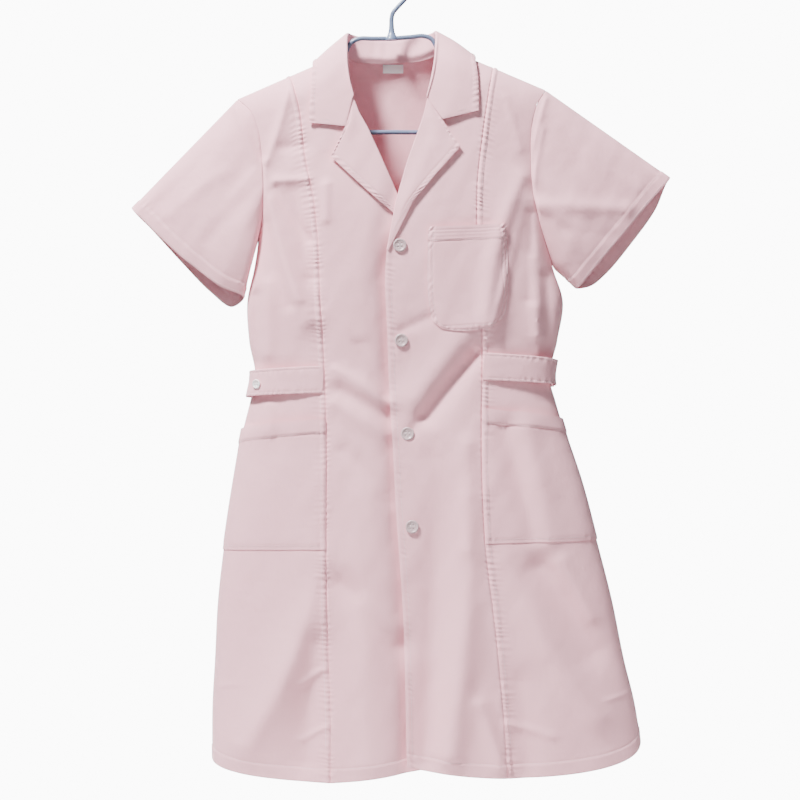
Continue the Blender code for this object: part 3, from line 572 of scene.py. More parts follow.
@dataclass
class ClothGrid:
    """A cloth surface on a grid of rows and columns, with its normals and the distances over it.

    A ring repeats its first column as its last. out is any field of vectors that point roughly outwards.
    """

    points: Array
    out: Array
    ring: bool = False
    normal: Array = field(init=False)
    across: Array = field(init=False)
    down: Array = field(init=False)
    way: float = field(init=False)

    def __post_init__(self) -> None:
        """Normals are the cross product of the steps along the columns and the rows, turned outwards."""
        down = np.gradient(self.points, axis=0)
        if self.ring:
            inner = self.points[:, :-1]
            step = np.roll(inner, -1, axis=1) - np.roll(inner, 1, axis=1)
            step = np.concatenate([step, step[:, :1]], axis=1)
        else:
            step = np.gradient(self.points, axis=1)
        normal = unit(np.cross(step, down))
        self.way = 1.0 if (normal * self.out).sum() > 0 else -1.0
        self.normal = normal * self.way
        self.across = self._length(1)
        self.down = self._length(0)

    def _length(self, axis: int) -> Array:
        """Distances from the first line of the grid, summed along an axis."""
        steps = np.linalg.norm(np.diff(self.points, axis=axis), axis=-1)
        return np.insert(np.cumsum(steps, axis=axis), 0, 0.0, axis=axis)

    @property
    def width(self) -> Array:
        """Each row's whole length, as a column."""
        return self.across[:, -1:]

    @property
    def height(self) -> Array:
        """Each column's whole length, as a row."""
        return self.down[-1:]

    @property
    def area(self) -> float:
        """The surface's area, as two triangles for each cell."""
        p = self.points
        a, b, c, d = p[:-1, :-1], p[:-1, 1:], p[1:, 1:], p[1:, :-1]
        doubled = np.stack([np.cross(b - a, c - a), np.cross(c - a, d - a)])
        return float(np.linalg.norm(doubled, axis=-1).sum() / 2)

    def lifted(self, relief: Array) -> "ClothGrid":
        """The same grid with every point moved out along its normal by a relief."""
        return ClothGrid(self.points + self.normal * relief[..., None], self.normal, self.ring)

    def down_run(self, distance: float, far: bool = False) -> Run:
        """The line down the cloth that keeps a distance from its first or last column."""
        return self._run(self.points, self.normal, self.across, distance, far)

    def across_run(self, distance: float, far: bool = False) -> Run:
        """The line across the cloth that keeps a distance from its first or last row."""
        turned = [np.swapaxes(part, 0, 1) for part in (self.points, self.normal)]
        return self._run(*turned, self.down.T, distance, far)

    @staticmethod
    def _run(points: Array, normal: Array, length: Array, distance: float, far: bool) -> Run:
        """On each line of a grid, the point that lies a distance along it, between its two neighbours."""
        if far:
            points, normal, length = points[:, ::-1], normal[:, ::-1], length[:, -1:] - length[:, ::-1]
        last = np.clip((length <= distance).sum(axis=1) - 1, 0, length.shape[1] - 2)[:, None]
        first, second = (np.take_along_axis(length, last + i, 1) for i in (0, 1))
        share = ((distance - first) / np.maximum(second - first, 1e-9))[..., None]

        def between(values: Array) -> Array:
            """The values at the two neighbours, mixed by the share."""
            a, b = (np.take_along_axis(values, (last + i)[..., None], 1) for i in (0, 1))
            return (a + (b - a) * share)[:, 0]

        return Run(between(points), between(normal))


# Meshes

def linear(hex_colour: str) -> tuple[float, float, float, float]:
    """An sRGB hex colour as linear red, green, blue and alpha."""
    parts = (int(hex_colour[i : i + 2], 16) / 255 for i in (1, 3, 5))
    return (*(c / 12.92 if c <= 0.04045 else ((c + 0.055) / 1.055) ** 2.4 for c in parts), 1.0)


def add_piece(
    name: str, points: Array, faces: list[Array], material: bpy.types.Material, uv: Array | None = None,
    uv_faces: list[Array] | None = None, sharp: float = 50.0,
) -> bpy.types.Object:
    """Puts one mesh into the scene as a piece that rides on the dress's one body.

    Args:
        name: the piece's name.
        points: its points in millimetres.
        faces: arrays of faces, one for each number of corners.
        material: its finish.
        uv: places on the flat cloth in millimetres, which the uv faces index.
        uv_faces: the same arrays as the faces, with an index into uv at each corner.
        sharp: edges that turn by more degrees than this stay sharp.

    Returns:
        The object.
    """
    mesh = bpy.data.meshes.new(name)
    corners = np.concatenate([part.ravel() for part in faces])
    sizes = np.concatenate([np.full(len(part), part.shape[1]) for part in faces])
    mesh.vertices.add(len(points))
    mesh.vertices.foreach_set("co", (points * METRE).astype(np.float32).ravel())
    mesh.loops.add(len(corners))
    mesh.loops.foreach_set("vertex_index", corners.astype(np.int32))
    mesh.polygons.add(len(sizes))
    mesh.polygons.foreach_set("loop_start", (np.cumsum(sizes) - sizes).astype(np.int32))
    mesh.update(calc_edges=True)
    if uv is not None and uv_faces is not None:
        layer = mesh.uv_layers.new(name="Cut")
        index = np.concatenate([part.ravel() for part in uv_faces])
        layer.data.foreach_set("uv", (uv[index] * METRE).astype(np.float32).ravel())
    mesh.shade_smooth()
    mesh.set_sharp_from_angle(angle=math.radians(sharp))
    mesh.materials.append(material)
    made = bpy.data.objects.new(name, mesh)
    bpy.context.scene.collection.objects.link(made)
    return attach(made, BODY)


def quads_of(ids: Array) -> Array:
    """Four corners for each cell of a grid of indices: along the row, then down."""
    return np.stack([ids[:-1, :-1], ids[:-1, 1:], ids[1:, 1:], ids[1:, :-1]], axis=-1).reshape(-1, 4)


def rim_of(edge: Array, inner: Array) -> Array:
    """Faces that join a line of outer points to its inner ones, for an outer face on the line's left."""
    return np.stack([edge[1:], edge[:-1], inner[:-1], inner[1:]], axis=-1)


def add_wall(name: str, grid: ClothGrid, thickness: float, material: bpy.types.Material) -> bpy.types.Object:
    """A cloth wall: the grid as its outer face, the same grid moved in by its thickness, and rims round it.

    Args:
        name: the piece's name.
        grid: the outer face.
        thickness: the cloth's thickness.
        material: its finish.

    Returns:
        The object.
    """
    rows, cols = grid.points.shape[:2]
    flat = np.arange(rows * cols).reshape(rows, cols)
    if grid.ring:
        ids = np.arange(rows * (cols - 1)).reshape(rows, cols - 1)
        ids = np.concatenate([ids, ids[:, :1]], axis=1)
        outer, normal = grid.points[:, :-1].reshape(-1, 3), grid.normal[:, :-1].reshape(-1, 3)
    else:
        ids = flat
        outer, normal = grid.points.reshape(-1, 3), grid.normal.reshape(-1, 3)
    points = np.concatenate([outer, outer - normal * thickness])

    def shell(index: Array, size: int) -> Array:
        """All faces of the wall, for indices whose inner ones lie a size further on."""
        parts = [quads_of(index), quads_of(index)[:, ::-1] + size]
        lines = [index[0], index[-1, ::-1]]
        if not grid.ring:
            lines += [index[::-1, 0], index[:, -1]]
        parts += [rim_of(line, line + size) for line in lines]
        faces = np.concatenate(parts)
        return faces if grid.way > 0 else faces[:, ::-1]

    uv = np.stack([grid.across, grid.down], axis=-1).reshape(-1, 2)
    return add_piece(
        name, points, [shell(ids, len(outer))], material,
        np.concatenate([uv, uv]), [shell(flat, rows * cols)],
    )


@dataclass(frozen=True)
class StitchRow:
    """A row of machine stitches: how far apart they start, how long and thick one is, and how it arches."""

    pitch: float = 3.2
    length: float = 2.4
    radius: float = 0.34
    rise: float = 0.3
    sunk: float = -0.4
    taper: float = 0.5

    def mesh(self, run: Run) -> tuple[Array, Array]:
        """Each stitch is three rings of four points on an arch over the cloth, closed at both ends.

        Args:
            run: the line that the row follows.

        Returns:
            The points and the faces of the whole row.
        """
        step = np.linalg.norm(np.diff(run.points, axis=0), axis=1)
        at = np.insert(np.cumsum(step), 0, 0.0)
        count = max(1, int((at[-1] - self.length) / self.pitch))
        start = (at[-1] - count * self.pitch + self.pitch - self.length) / 2 + self.pitch * np.arange(count)
        places = start[:, None] + self.length * np.array([0.0, 0.5, 1.0])

        def read(values: Array) -> Array:
            """The run's values at the stitches' places."""
            return np.stack([np.interp(places, at, values[:, k]) for k in range(3)], axis=-1)

        normal = unit(read(run.normal))
        arch = self.rise * np.array([self.sunk, 1.0, self.sunk])
        centre = read(run.points) + normal * arch[None, :, None]
        side = unit(np.cross(centre[:, 2:] - centre[:, :1], normal))
        turn = np.arange(4) * math.pi / 2 + math.pi / 4
        reach = self.radius * np.array([self.taper, 1.0, self.taper])[None, :, None, None]
        circle = np.cos(turn)[:, None] * side[:, :, None] + np.sin(turn)[:, None] * normal[:, :, None]
        points = (centre[:, :, None] + circle * reach).reshape(-1, 3)
        ring = np.arange(4)
        ahead = (ring + 1) % 4
        walls = [np.stack([k + ring, k + ahead, k + 4 + ahead, k + 4 + ring], axis=-1) for k in (0, 4)]
        one = np.concatenate([*walls, [[3, 2, 1, 0], [8, 9, 10, 11]]])
        faces = (one[None] + 12 * np.arange(count)[:, None, None]).reshape(-1, 4)
        return points, faces

    def add(self, name: str, runs: list[Run], material: bpy.types.Material) -> bpy.types.Object:
        """Several rows as one piece, with their faces turned outwards."""
        points, faces, size = [], [], 0
        for run in runs:
            some, cells = self.mesh(run)
            points.append(some)
            faces.append(cells + size)
            size += len(some)
        points, faces = np.concatenate(points), np.concatenate(faces)
        a, b, c = (points[faces[:10, k]] for k in range(3))
        middle = points[:12].mean(axis=0)
        if (np.cross(b - a, c - a) * (a - middle)).sum() < 0:
            faces = faces[:, ::-1]
        return add_piece(name, points, [faces], material, sharp=80.0)


# Finishes

def add_node(
    tree: bpy.types.NodeTree, kind: str, inputs: dict | None = None, **settings: object
) -> bpy.types.Node:
    """Adds a shader node with its settings, and gives its sockets values or links.

    Args:
        tree: the material's nodes.
        kind: the node's type.
        inputs: for a socket's name or number, a value or the socket to link from.
        settings: the node's own properties.

    Returns:
        The node.
    """
    node = tree.nodes.new(kind)
    for key, value in settings.items():
        setattr(node, key, value)
    for key, value in (inputs or {}).items():
        if isinstance(value, bpy.types.NodeSocket):
            tree.links.new(value, node.inputs[key])
        else:
            node.inputs[key].default_value = value
    return node


def new_finish(name: str, **values: object) -> tuple[bpy.types.Material, bpy.types.NodeTree, bpy.types.Node]:
    """A material with its Principled shader, whose sockets take the values given by their names.

    Args:
        name: the material's name.
        values: socket values, with _ for a space in the socket's name.

    Returns:
        The material, its nodes and the shader.
    """
    material = bpy.data.materials.new(name)
    material.use_nodes = True
    shader = material.node_tree.nodes["Principled BSDF"]
    for key, value in values.items():
        shader.inputs[key.replace("_", " ")].default_value = value
    return material, material.node_tree, shader


@dataclass(frozen=True)
class PinkTwill:
    """Polyester and cotton twill, woven in fine diagonal ribs and dyed pale pink: matt, with a soft sheen
    where it turns away. Ribs 0.5 mm apart don't show at this size, so they are drawn 1.6 mm apart."""

    colour: str = "#F8BBC6"
    deep: str = "#F1ADB9"
    rib: float = 1.6
    rib_turn: float = 63.0
    slub: float = 2.5
    slub_stretch: float = 0.18
    crumple: float = 22.0
    roughness: float = 0.82

    def make(self) -> bpy.types.Material:
        """Ribs are a wave over the flat cloth, slubs a noise stretched along its length, and the fine
        crumple a broad noise; all three are bumps, and a slow noise shifts the colour a little."""
        material, tree, shader = new_finish(
            "pink twill", Roughness=self.roughness, Sheen_Weight=0.25, Sheen_Roughness=0.5,
            Specular_IOR_Level=0.3,
        )
        flat = add_node(tree, "ShaderNodeUVMap", uv_map="Cut").outputs["UV"]
        place = add_node(tree, "ShaderNodeTexCoord").outputs["Object"]
        turned = add_node(
            tree, "ShaderNodeMapping", {"Vector": flat, "Rotation": (0, 0, math.radians(self.rib_turn))}
        ).outputs["Vector"]
        ribs = add_node(
            tree, "ShaderNodeTexWave",
            {"Vector": turned, "Scale": math.pi / (10 * self.rib * METRE), "Distortion": 0.6, "Detail": 1.0},
        ).outputs["Fac"]
        stretched = add_node(
            tree, "ShaderNodeMapping", {"Vector": flat, "Scale": (1.0, self.slub_stretch, 1.0)}
        ).outputs["Vector"]
        slubs = add_node(
            tree, "ShaderNodeTexNoise", {"Vector": stretched, "Scale": 1 / (self.slub * METRE), "Detail": 3.0}
        ).outputs["Fac"]
        crumple = add_node(
            tree, "ShaderNodeTexNoise", {"Vector": place, "Scale": 1 / (self.crumple * METRE), "Detail": 2.0}
        ).outputs["Fac"]
        tone = add_node(
            tree, "ShaderNodeTexNoise", {"Vector": place, "Scale": 9.0, "Detail": 2.0}
        ).outputs["Fac"]
        shade = add_node(
            tree, "ShaderNodeMix",
            {"Factor": tone, 6: linear(self.colour), 7: linear(self.deep)}, data_type="RGBA",
        ).outputs[2]
        fleck = add_node(
            tree, "ShaderNodeMix",
            {"Factor": slubs, 6: shade, 7: linear(self.colour)}, data_type="RGBA",
        ).outputs[2]
        broad = add_node(
            tree, "ShaderNodeBump", {"Height": crumple, "Strength": 0.45, "Distance": 0.0022}
        ).outputs["Normal"]
        fine = add_node(
            tree, "ShaderNodeBump", {"Height": slubs, "Normal": broad, "Strength": 0.3, "Distance": 0.0002}
        ).outputs["Normal"]
        woven = add_node(
            tree, "ShaderNodeBump", {"Height": ribs, "Normal": fine, "Strength": 0.25, "Distance": 0.00015}
        ).outputs["Normal"]
        tree.links.new(fleck, shader.inputs["Base Color"])
        tree.links.new(woven, shader.inputs["Normal"])
        return material


@dataclass(frozen=True)
class SewingThread:
    """Spun polyester thread in the cloth's pink: a little paler and shinier than the cloth, with a fine
    twist."""

    colour: str = "#EFD6D9"

    def make(self) -> bpy.types.Material:
        """The twist is a wave 0.6 mm long, as a bump."""
        material, tree, shader = new_finish(
            "pink sewing thread", Base_Color=linear(self.colour), Roughness=0.6, Sheen_Weight=0.2
        )
        place = add_node(tree, "ShaderNodeTexCoord").outputs["Object"]
        twist = add_node(
            tree, "ShaderNodeTexWave", {"Vector": place, "Scale": 520.0}, bands_direction="DIAGONAL"
        ).outputs["Fac"]
        bump = add_node(tree, "ShaderNodeBump", {"Height": twist, "Strength": 0.4, "Distance": 0.0001})
        tree.links.new(bump.outputs["Normal"], shader.inputs["Normal"])
        return material


@dataclass(frozen=True)
class ButtonPlastic:
    """Cast polyester resin, turned and polished: cloudy greyish pink that lets some light in."""

    colour: str = "#B59A9E"
    cloud: str = "#CFB9BC"
    name: str = "polished polyester button"

    def make(self) -> bpy.types.Material:
        """The cloud is a noise with patches of about 6 mm."""
        material, tree, shader = new_finish(
            self.name, Roughness=0.28, IOR=1.54, Subsurface_Weight=0.35,
            Subsurface_Radius=(0.004, 0.003, 0.003), Subsurface_Scale=0.6,
        )
        place = add_node(tree, "ShaderNodeTexCoord").outputs["Object"]
        cloud = add_node(
            tree, "ShaderNodeTexNoise", {"Vector": place, "Scale": 160.0, "Detail": 3.0, "Distortion": 1.2}
        ).outputs["Fac"]
        mixed = add_node(
            tree, "ShaderNodeMix",
            {"Factor": cloud, 6: linear(self.colour), 7: linear(self.cloud)}, data_type="RGBA",
        )
        tree.links.new(mixed.outputs[2], shader.inputs["Base Color"])
        return material


@dataclass(frozen=True)
class HangerPlastic:
    """Polystyrene, injection moulded in blue grey: smooth, with a faint orange peel and soft gloss."""

    colour: str = "#5C6B8A"
    worn: str = "#74819D"

    def make(self) -> bpy.types.Material:
        """The orange peel is a noise with 2 mm grains, and a slower one gives the rubbed places."""
        material, tree, shader = new_finish("moulded polystyrene hanger", Roughness=0.34, IOR=1.59)
        place = add_node(tree, "ShaderNodeTexCoord").outputs["Object"]
        rubbed = add_node(
            tree, "ShaderNodeTexNoise", {"Vector": place, "Scale": 45.0, "Detail": 4.0}
        ).outputs["Fac"]
        peel = add_node(tree, "ShaderNodeTexNoise", {"Vector": place, "Scale": 500.0}).outputs["Fac"]
        mixed = add_node(
            tree, "ShaderNodeMix",
            {"Factor": rubbed, 6: linear(self.colour), 7: linear(self.worn)}, data_type="RGBA",
        )
        bump = add_node(tree, "ShaderNodeBump", {"Height": peel, "Strength": 0.2, "Distance": 0.0001})
        tree.links.new(mixed.outputs[2], shader.inputs["Base Color"])
        tree.links.new(bump.outputs["Normal"], shader.inputs["Normal"])
        return material


@dataclass(frozen=True)
class LabelTape:
    """White woven polyester tape: smooth and close, with fine ribs across. They are drawn 1 mm apart."""

    colour: str = "#F6F3F5"
    rib: float = 1.0

    def make(self) -> bpy.types.Material:
        """Ribs are a wave down the flat tape, as a bump."""
        material, tree, shader = new_finish(
            "woven label tape", Base_Color=linear(self.colour), Roughness=0.6, Sheen_Weight=0.2
        )
        flat = add_node(tree, "ShaderNodeUVMap", uv_map="Cut").outputs["UV"]
        ribs = add_node(
            tree, "ShaderNodeTexWave", {"Vector": flat, "Scale": math.pi / (10 * self.rib * METRE)},
            bands_direction="Y",
        ).outputs["Fac"]
        bump = add_node(tree, "ShaderNodeBump", {"Height": ribs, "Strength": 0.25, "Distance": 0.0001})
        tree.links.new(bump.outputs["Normal"], shader.inputs["Normal"])
        return material


@dataclass
class Finishes:
    """The materials that the pieces share."""

    twill: bpy.types.Material
    thread: bpy.types.Material
    button: bpy.types.Material
    tab_button: bpy.types.Material
    hanger: bpy.types.Material
    label: bpy.types.Material


def add_cloth(
    node: str, grid: ClothGrid, runs: list[Run], finishes: Finishes, thickness: float = 0.8,
    rests_on: tuple[str, ...] = ("hanger",),
) -> list[bpy.types.Object]:
    """A piece of cloth with its stitching, in place of its solid.

    Args:
        node: the solid's name.
        grid: the cloth's outer face.
        runs: the lines of its stitching.
        finishes: the shared materials.
        thickness: the cloth's thickness.
        rests_on: what it hangs from or is sewn to; not used.

    Returns:
        The cloth and its stitches.
    """
    made = add_wall(node + "_cloth", grid, thickness, finishes.twill)
    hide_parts(node)
    pieces = [made]
    if runs:
        pieces.append(StitchRow().add(node + "_stitches", runs, finishes.thread))
    return pieces


# Grooves and rounded edges below are pairs of a depth and a width. A relief that fades at a sewn edge starts
# this far outside it.
EDGE_START = -0.1


@dataclass(frozen=True)
class PuckeredLine:
    """What a seam or a row of stitches does to cloth: a narrow groove, and puckers round a line beside it."""

    groove: tuple[float, float]
    pucker: float
    period: float
    spread: float
    beside: float = 0.0

    def relief(self, distance: Array, along: Array, phase: float) -> Array:
        """The groove is a bell, and the puckers are a wandering wave under a broader bell.

        Args:
            distance: from the groove, to either side.
            along: distance along it.
            phase: sets one line's puckers apart from the next's.

        Returns:
            Heights of the cloth.
        """
        puckers = self.pucker * wander(along, self.period, phase) * bell(distance, self.beside, self.spread)
        return puckers + dent(distance, self.groove)


@dataclass
class SeamFinish:
    """How a princess seam shows: a sunk line, the puckers beside it and the row of stitches past them."""

    sink: tuple[float, float] = (1.4, 1.2)
    stitch_line: float = 7.5
    pucker: float = 0.85
    period: float = 7.0
    plump: float = 1.1
    plump_spread: float = 2.4
    groove: tuple[float, float] = (0.55, 1.0)
    beyond_pucker: float = 0.34
    beyond: float = 4.5
    beyond_width: float = 4.0
    plain_pucker: float = 0.595
    plain_place: float = 3.0
    plain_width: float = 3.4

    def relief(self, distance: Array, along: Array, phase: float, stitched: bool) -> Array:
        """The relief at a distance from the seam: a bell sinks its line, puckers wave over the allowance
        as far as the stitches, which pull a narrow groove.

        Args:
            distance: from the seam.
            along: distance down the seam.
            phase: sets one seam's puckers apart from the next's.
            stitched: whether the row of stitches lies on this side.

        Returns:
            Heights of the cloth.
        """
        rise = dent(distance, self.sink)
        wave = wander(along, self.period, phase)
        if not stitched:
            return rise + self.plain_pucker * wave * bell(distance, self.plain_place, self.plain_width)
        allowance = bell(distance, self.stitch_line / 2, self.stitch_line / self.plump_spread)
        rise = rise + (self.plump + self.pucker * wave) * allowance
        rise = rise + dent(distance - self.stitch_line, self.groove)
        beyond = bell(distance, self.stitch_line + self.beyond, self.beyond_width)
        return rise + self.beyond_pucker * wave * beyond


@dataclass
class Hem:
    """A turned hem: its height, the fullness of the turned cloth, its stitches and its rounded edge."""

    height: float = 18.0
    plump: float = 0.8
    step: float = 1.2
    stitches: PuckeredLine = PuckeredLine(groove=(0.7, 1.1), pucker=0.8, period=11.0, spread=6.0)
    edge: tuple[float, float] = (0.5, 0.8)

    def relief(self, distance: Array, along: Array, phase: float = 0.0) -> Array:
        """The relief at a distance from the hem's edge: a low step, its stitches and the edge.

        Args:
            distance: from the edge.
            along: distance along the edge.
            phase: sets one hem apart from the next.

        Returns:
            Heights of the cloth.
        """
        relief = self.plump * turned_under(distance, self.height, self.step)
        relief = relief + self.stitches.relief(distance - self.height, along, phase)
        return relief + dent(distance, self.edge)


@dataclass
class FrontPanels:
    """The fronts of one side, centre and side, with the lower pocket on the side panel.

    The shares of a run say where along it its stitches start and end.
    """

    side: Side
    centre_cols: int = 30
    side_cols: int = 40
    centre_sag: float = 3.5
    side_sag: float = 4.0
    seam: SeamFinish = field(default_factory=SeamFinish)
    hem: Hem = field(default_factory=Hem)
    hem_run: tuple[float, float] = (0.06, 0.94)
    placket_line: float = 8.0
    placket_start: float = 0.29
    placket_fade: float = 0.03
    placket_run: tuple[float, float] = (0.31, 0.985)
    placket_plump: float = 0.5
    placket_stitches: PuckeredLine = PuckeredLine(
        groove=(0.5, 1.0), pucker=0.35, period=8.0, spread=5.0, beside=-2.0
    )
    edge: tuple[float, float] = (0.5, 1.0)
    turn_in: float = 6.0
    turn_in_width: float = 14.0
    turn_in_drops: tuple[float, float] = (330.0, 380.0)
    seam_under: tuple[float, float] = (1.6, 1.3)
    seam_fade: float = 4.0
    seam_run: tuple[float, float] = (0.03, 0.955)
    side_wrap: float = 1.2
    side_edge: tuple[float, float] = (0.4, 1.2)
    side_hem_run: tuple[float, float] = (0.06, 0.97)
    cover_fade: float = 0.4
    cover_sink: float = 0.4
    pocket_cols: int = 54
    pocket_fine: int = 20
    pocket_wall: float = 0.7
    pocket_lift: tuple[float, float] = (0.9, 2.3)
    pocket_slack: float = 7.0
    pocket_seam: float = 0.8
    pocket_gape: float = 2.4
    gape_height: float = 22.0
    band: float = 19.0
    band_plump: float = 1.1
    band_stitches: PuckeredLine = PuckeredLine(groove=(1.1, 1.1), pucker=0.5, period=8.0, spread=6.0)
    foot_line: float = 5.0
    foot_stitches: PuckeredLine = PuckeredLine(groove=(0.7, 1.0), pucker=0.6, period=9.0, spread=5.0)
    foot_phase: float = 2.0
    pocket_run: tuple[float, float] = (0.02, 0.98)
    pocket_seam_run: tuple[float, float] = (0.02, 0.97)

    def centre(self) -> tuple[ClothGrid, list[Run]]:
        """The centre front from its edge to the princess seam, where its last column lies under the side
        front."""
        row = rows_between(0, LAST_ROW, FRONT_FINE)
        x, drop = FORM.panel(
            ("edge", self.side), ("princess", self.side), crowded(self.centre_cols), row, self.centre_sag
        )
        points, out = FORM.point(x, drop, Face.FRONT, under=self.side is Side.RIGHT)
        points[:, -1] += (self.seam_under[0] * self.side.value, self.seam_under[1], 0.0)
        grid = ClothGrid(points, out)
        phase = 1.0 + self.side.value
        to_seam = grid.width - grid.across
        relief = self.seam.relief(to_seam, grid.down, phase, stitched=False)
        hem = self.hem.relief(grid.height - grid.down, grid.across, phase)
        relief += hem * ease(to_seam, 0.0, self.seam_fade)
        placket = self.placket_plump * turned_under(grid.across, self.placket_line)
        placket += self.placket_stitches.relief(grid.across - self.placket_line, grid.down, phase)
        start = self.placket_start
        relief += placket * ease(grid.down / grid.height, start, start + self.placket_fade)
        relief += dent(grid.across, self.edge)
        if self.side is Side.RIGHT:
            over = FORM.seam_x(EDGE[Side.LEFT], drop)
            under = ease(x, over - self.turn_in_width, over) * ease(drop, *self.turn_in_drops)
            relief -= self.turn_in * under
        grid = grid.lifted(relief)
        runs = [
            grid.down_run(self.placket_line).part(*self.placket_run),
            grid.across_run(self.hem.height, far=True).part(*self.hem_run),
        ]
        return grid, runs

    def flank(self) -> tuple[ClothGrid, list[Run]]:
        """The side front from the princess seam to the armhole and the side seam."""
        row = rows_between(0, LAST_ROW, FRONT_FINE)
        x, drop = FORM.panel(
            ("princess", self.side), ("side", self.side), crowded(self.side_cols), row, self.side_sag
        )
        points, out = FORM.point(x, drop, Face.FRONT)
        points[row >= UNDERARM_ROW, -1, 1] += self.side_wrap
        grid = ClothGrid(points, out)
        phase = 1.0 + self.side.value
        to_side = grid.width - grid.across
        covered = ease(row, POCKET_ROW, POCKET_ROW + self.cover_fade)
        covered *= 1 - ease(row, POCKET_END_ROW - self.cover_fade, POCKET_END_ROW)
        covered = covered[:, None]
        relief = self.seam.relief(grid.across, grid.down, phase, stitched=True) * (1 - covered)
        relief -= self.cover_sink * covered
        hem = self.hem.relief(grid.height - grid.down, grid.across, phase + 1.0)
        relief += hem * ease(grid.across, 0.0, self.seam_fade)
        relief += dent(to_side, self.side_edge)
        grid = grid.lifted(relief * ease(to_side, EDGE_START, self.seam_fade))
        stitched = grid.down_run(self.seam.stitch_line)
        pocket, pocket_end = (np.searchsorted(row, line) / len(row) for line in (POCKET_ROW, POCKET_END_ROW))
        start, end = self.seam_run
        runs = [
            stitched.part(start, pocket),
            stitched.part(pocket_end, end),
            grid.across_run(self.hem.height, far=True).part(*self.side_hem_run),
        ]
        return grid, runs

    def pocket(self) -> tuple[ClothGrid, list[Run]]:
        """The lower pocket over the side front: sewn close at its sides and foot, slack at its mouth."""
        row = rows_between(POCKET_ROW, POCKET_END_ROW, {POCKET_ROW: self.pocket_fine})
        across = crowded(self.pocket_cols)
        x, drop = FORM.panel(("princess", self.side), ("side", self.side), across, row, self.side_sag)
        points, out = FORM.point(x, drop, Face.FRONT)
        grid = ClothGrid(points, out)
        to_foot = grid.height - grid.down
        to_edge = np.minimum(np.minimum(grid.across, grid.width - grid.across), to_foot)
        close, slack = self.pocket_lift
        lift = close + (slack - close) * (1 - np.exp(-to_edge / self.pocket_slack))
        phase = 0.5 - self.side.value
        lift += self.seam.relief(grid.across, grid.down, phase, stitched=True) * self.pocket_seam
        along = grid.across / grid.width
        lift += self.pocket_gape * bell(grid.down, 0.0, self.gape_height) * 4 * along * (1 - along)
        lift += self.band_plump * turned_under(grid.down, self.band)
        lift += self.band_stitches.relief(grid.down - self.band, grid.across, self.side.value)
        lift += self.foot_stitches.relief(to_foot - self.foot_line, grid.across, self.foot_phase)
        grid = grid.lifted(lift)
        runs = [
            grid.across_run(self.band).part(*self.pocket_run),
            grid.across_run(self.foot_line, far=True).part(*self.pocket_run),
            grid.down_run(self.seam.stitch_line).part(*self.pocket_seam_run),
        ]
        return grid, runs

    def build(self, finishes: Finishes) -> list[bpy.types.Object]:
        """Adds both fronts and the pocket."""
        word = self.side.word
        made = add_cloth("front_centre_" + word, *self.centre(), finishes)
        made += add_cloth("front_side_" + word, *self.flank(), finishes)
        grid, runs = self.pocket()
        made += add_cloth(
            "lower_pocket_" + word, grid, runs, finishes, self.pocket_wall, ("front_side_" + word,)
        )
        return made


@dataclass
class BackPanel:
    """The back, in one piece, whose top follows both shoulder seams and the neck."""

    cols: int = 84
    crowding: float = 0.5
    sag: float = 10.0
    hem: Hem = field(default_factory=Hem)
    hem_phase: float = 3.0
    hem_run: tuple[float, float] = (0.02, 0.98)
    side_edge: tuple[float, float] = (0.4, 1.2)
    side_fade: float = 4.0

    def grid(self) -> tuple[ClothGrid, list[Run]]:
        """The back from the right side to the left one."""
        row = rows_between(0, LAST_ROW, BACK_FINE)
        across = crowded(self.cols, self.crowding)
        x, drop = FORM.panel(("side", Side.RIGHT), ("side", Side.LEFT), across, row, self.sag)
        top_x = x[0]
        outside = (top_x < BACK_NECK["x"][0]) | (top_x > BACK_NECK["x"][-1])
        shoulder = np.interp(top_x, SHOULDER["x"], SHOULDER["drop"])
        neck = smooth(top_x, BACK_NECK["x"], BACK_NECK["drop"])
        top = np.where(outside, shoulder, neck) + SHOULDER_STEPS[0]
        fade = 1 - ease(row[:, None], len(SHOULDER_STEPS) - 2, UNDERARM_ROW)
        points, out = FORM.point(x, drop + (top - drop[0]) * fade, Face.BACK)
        grid = ClothGrid(points, out)
        side = np.minimum(grid.across, grid.width - grid.across)
        relief = self.hem.relief(grid.height - grid.down, grid.across, self.hem_phase)
        relief += dent(side, self.side_edge)
        grid = grid.lifted(relief * ease(side, EDGE_START, self.side_fade))
        return grid, [grid.across_run(self.hem.height, far=True).part(*self.hem_run)]

    def build(self, finishes: Finishes) -> list[bpy.types.Object]:
        """Adds the back."""
        return add_cloth("back", *self.grid(), finishes)


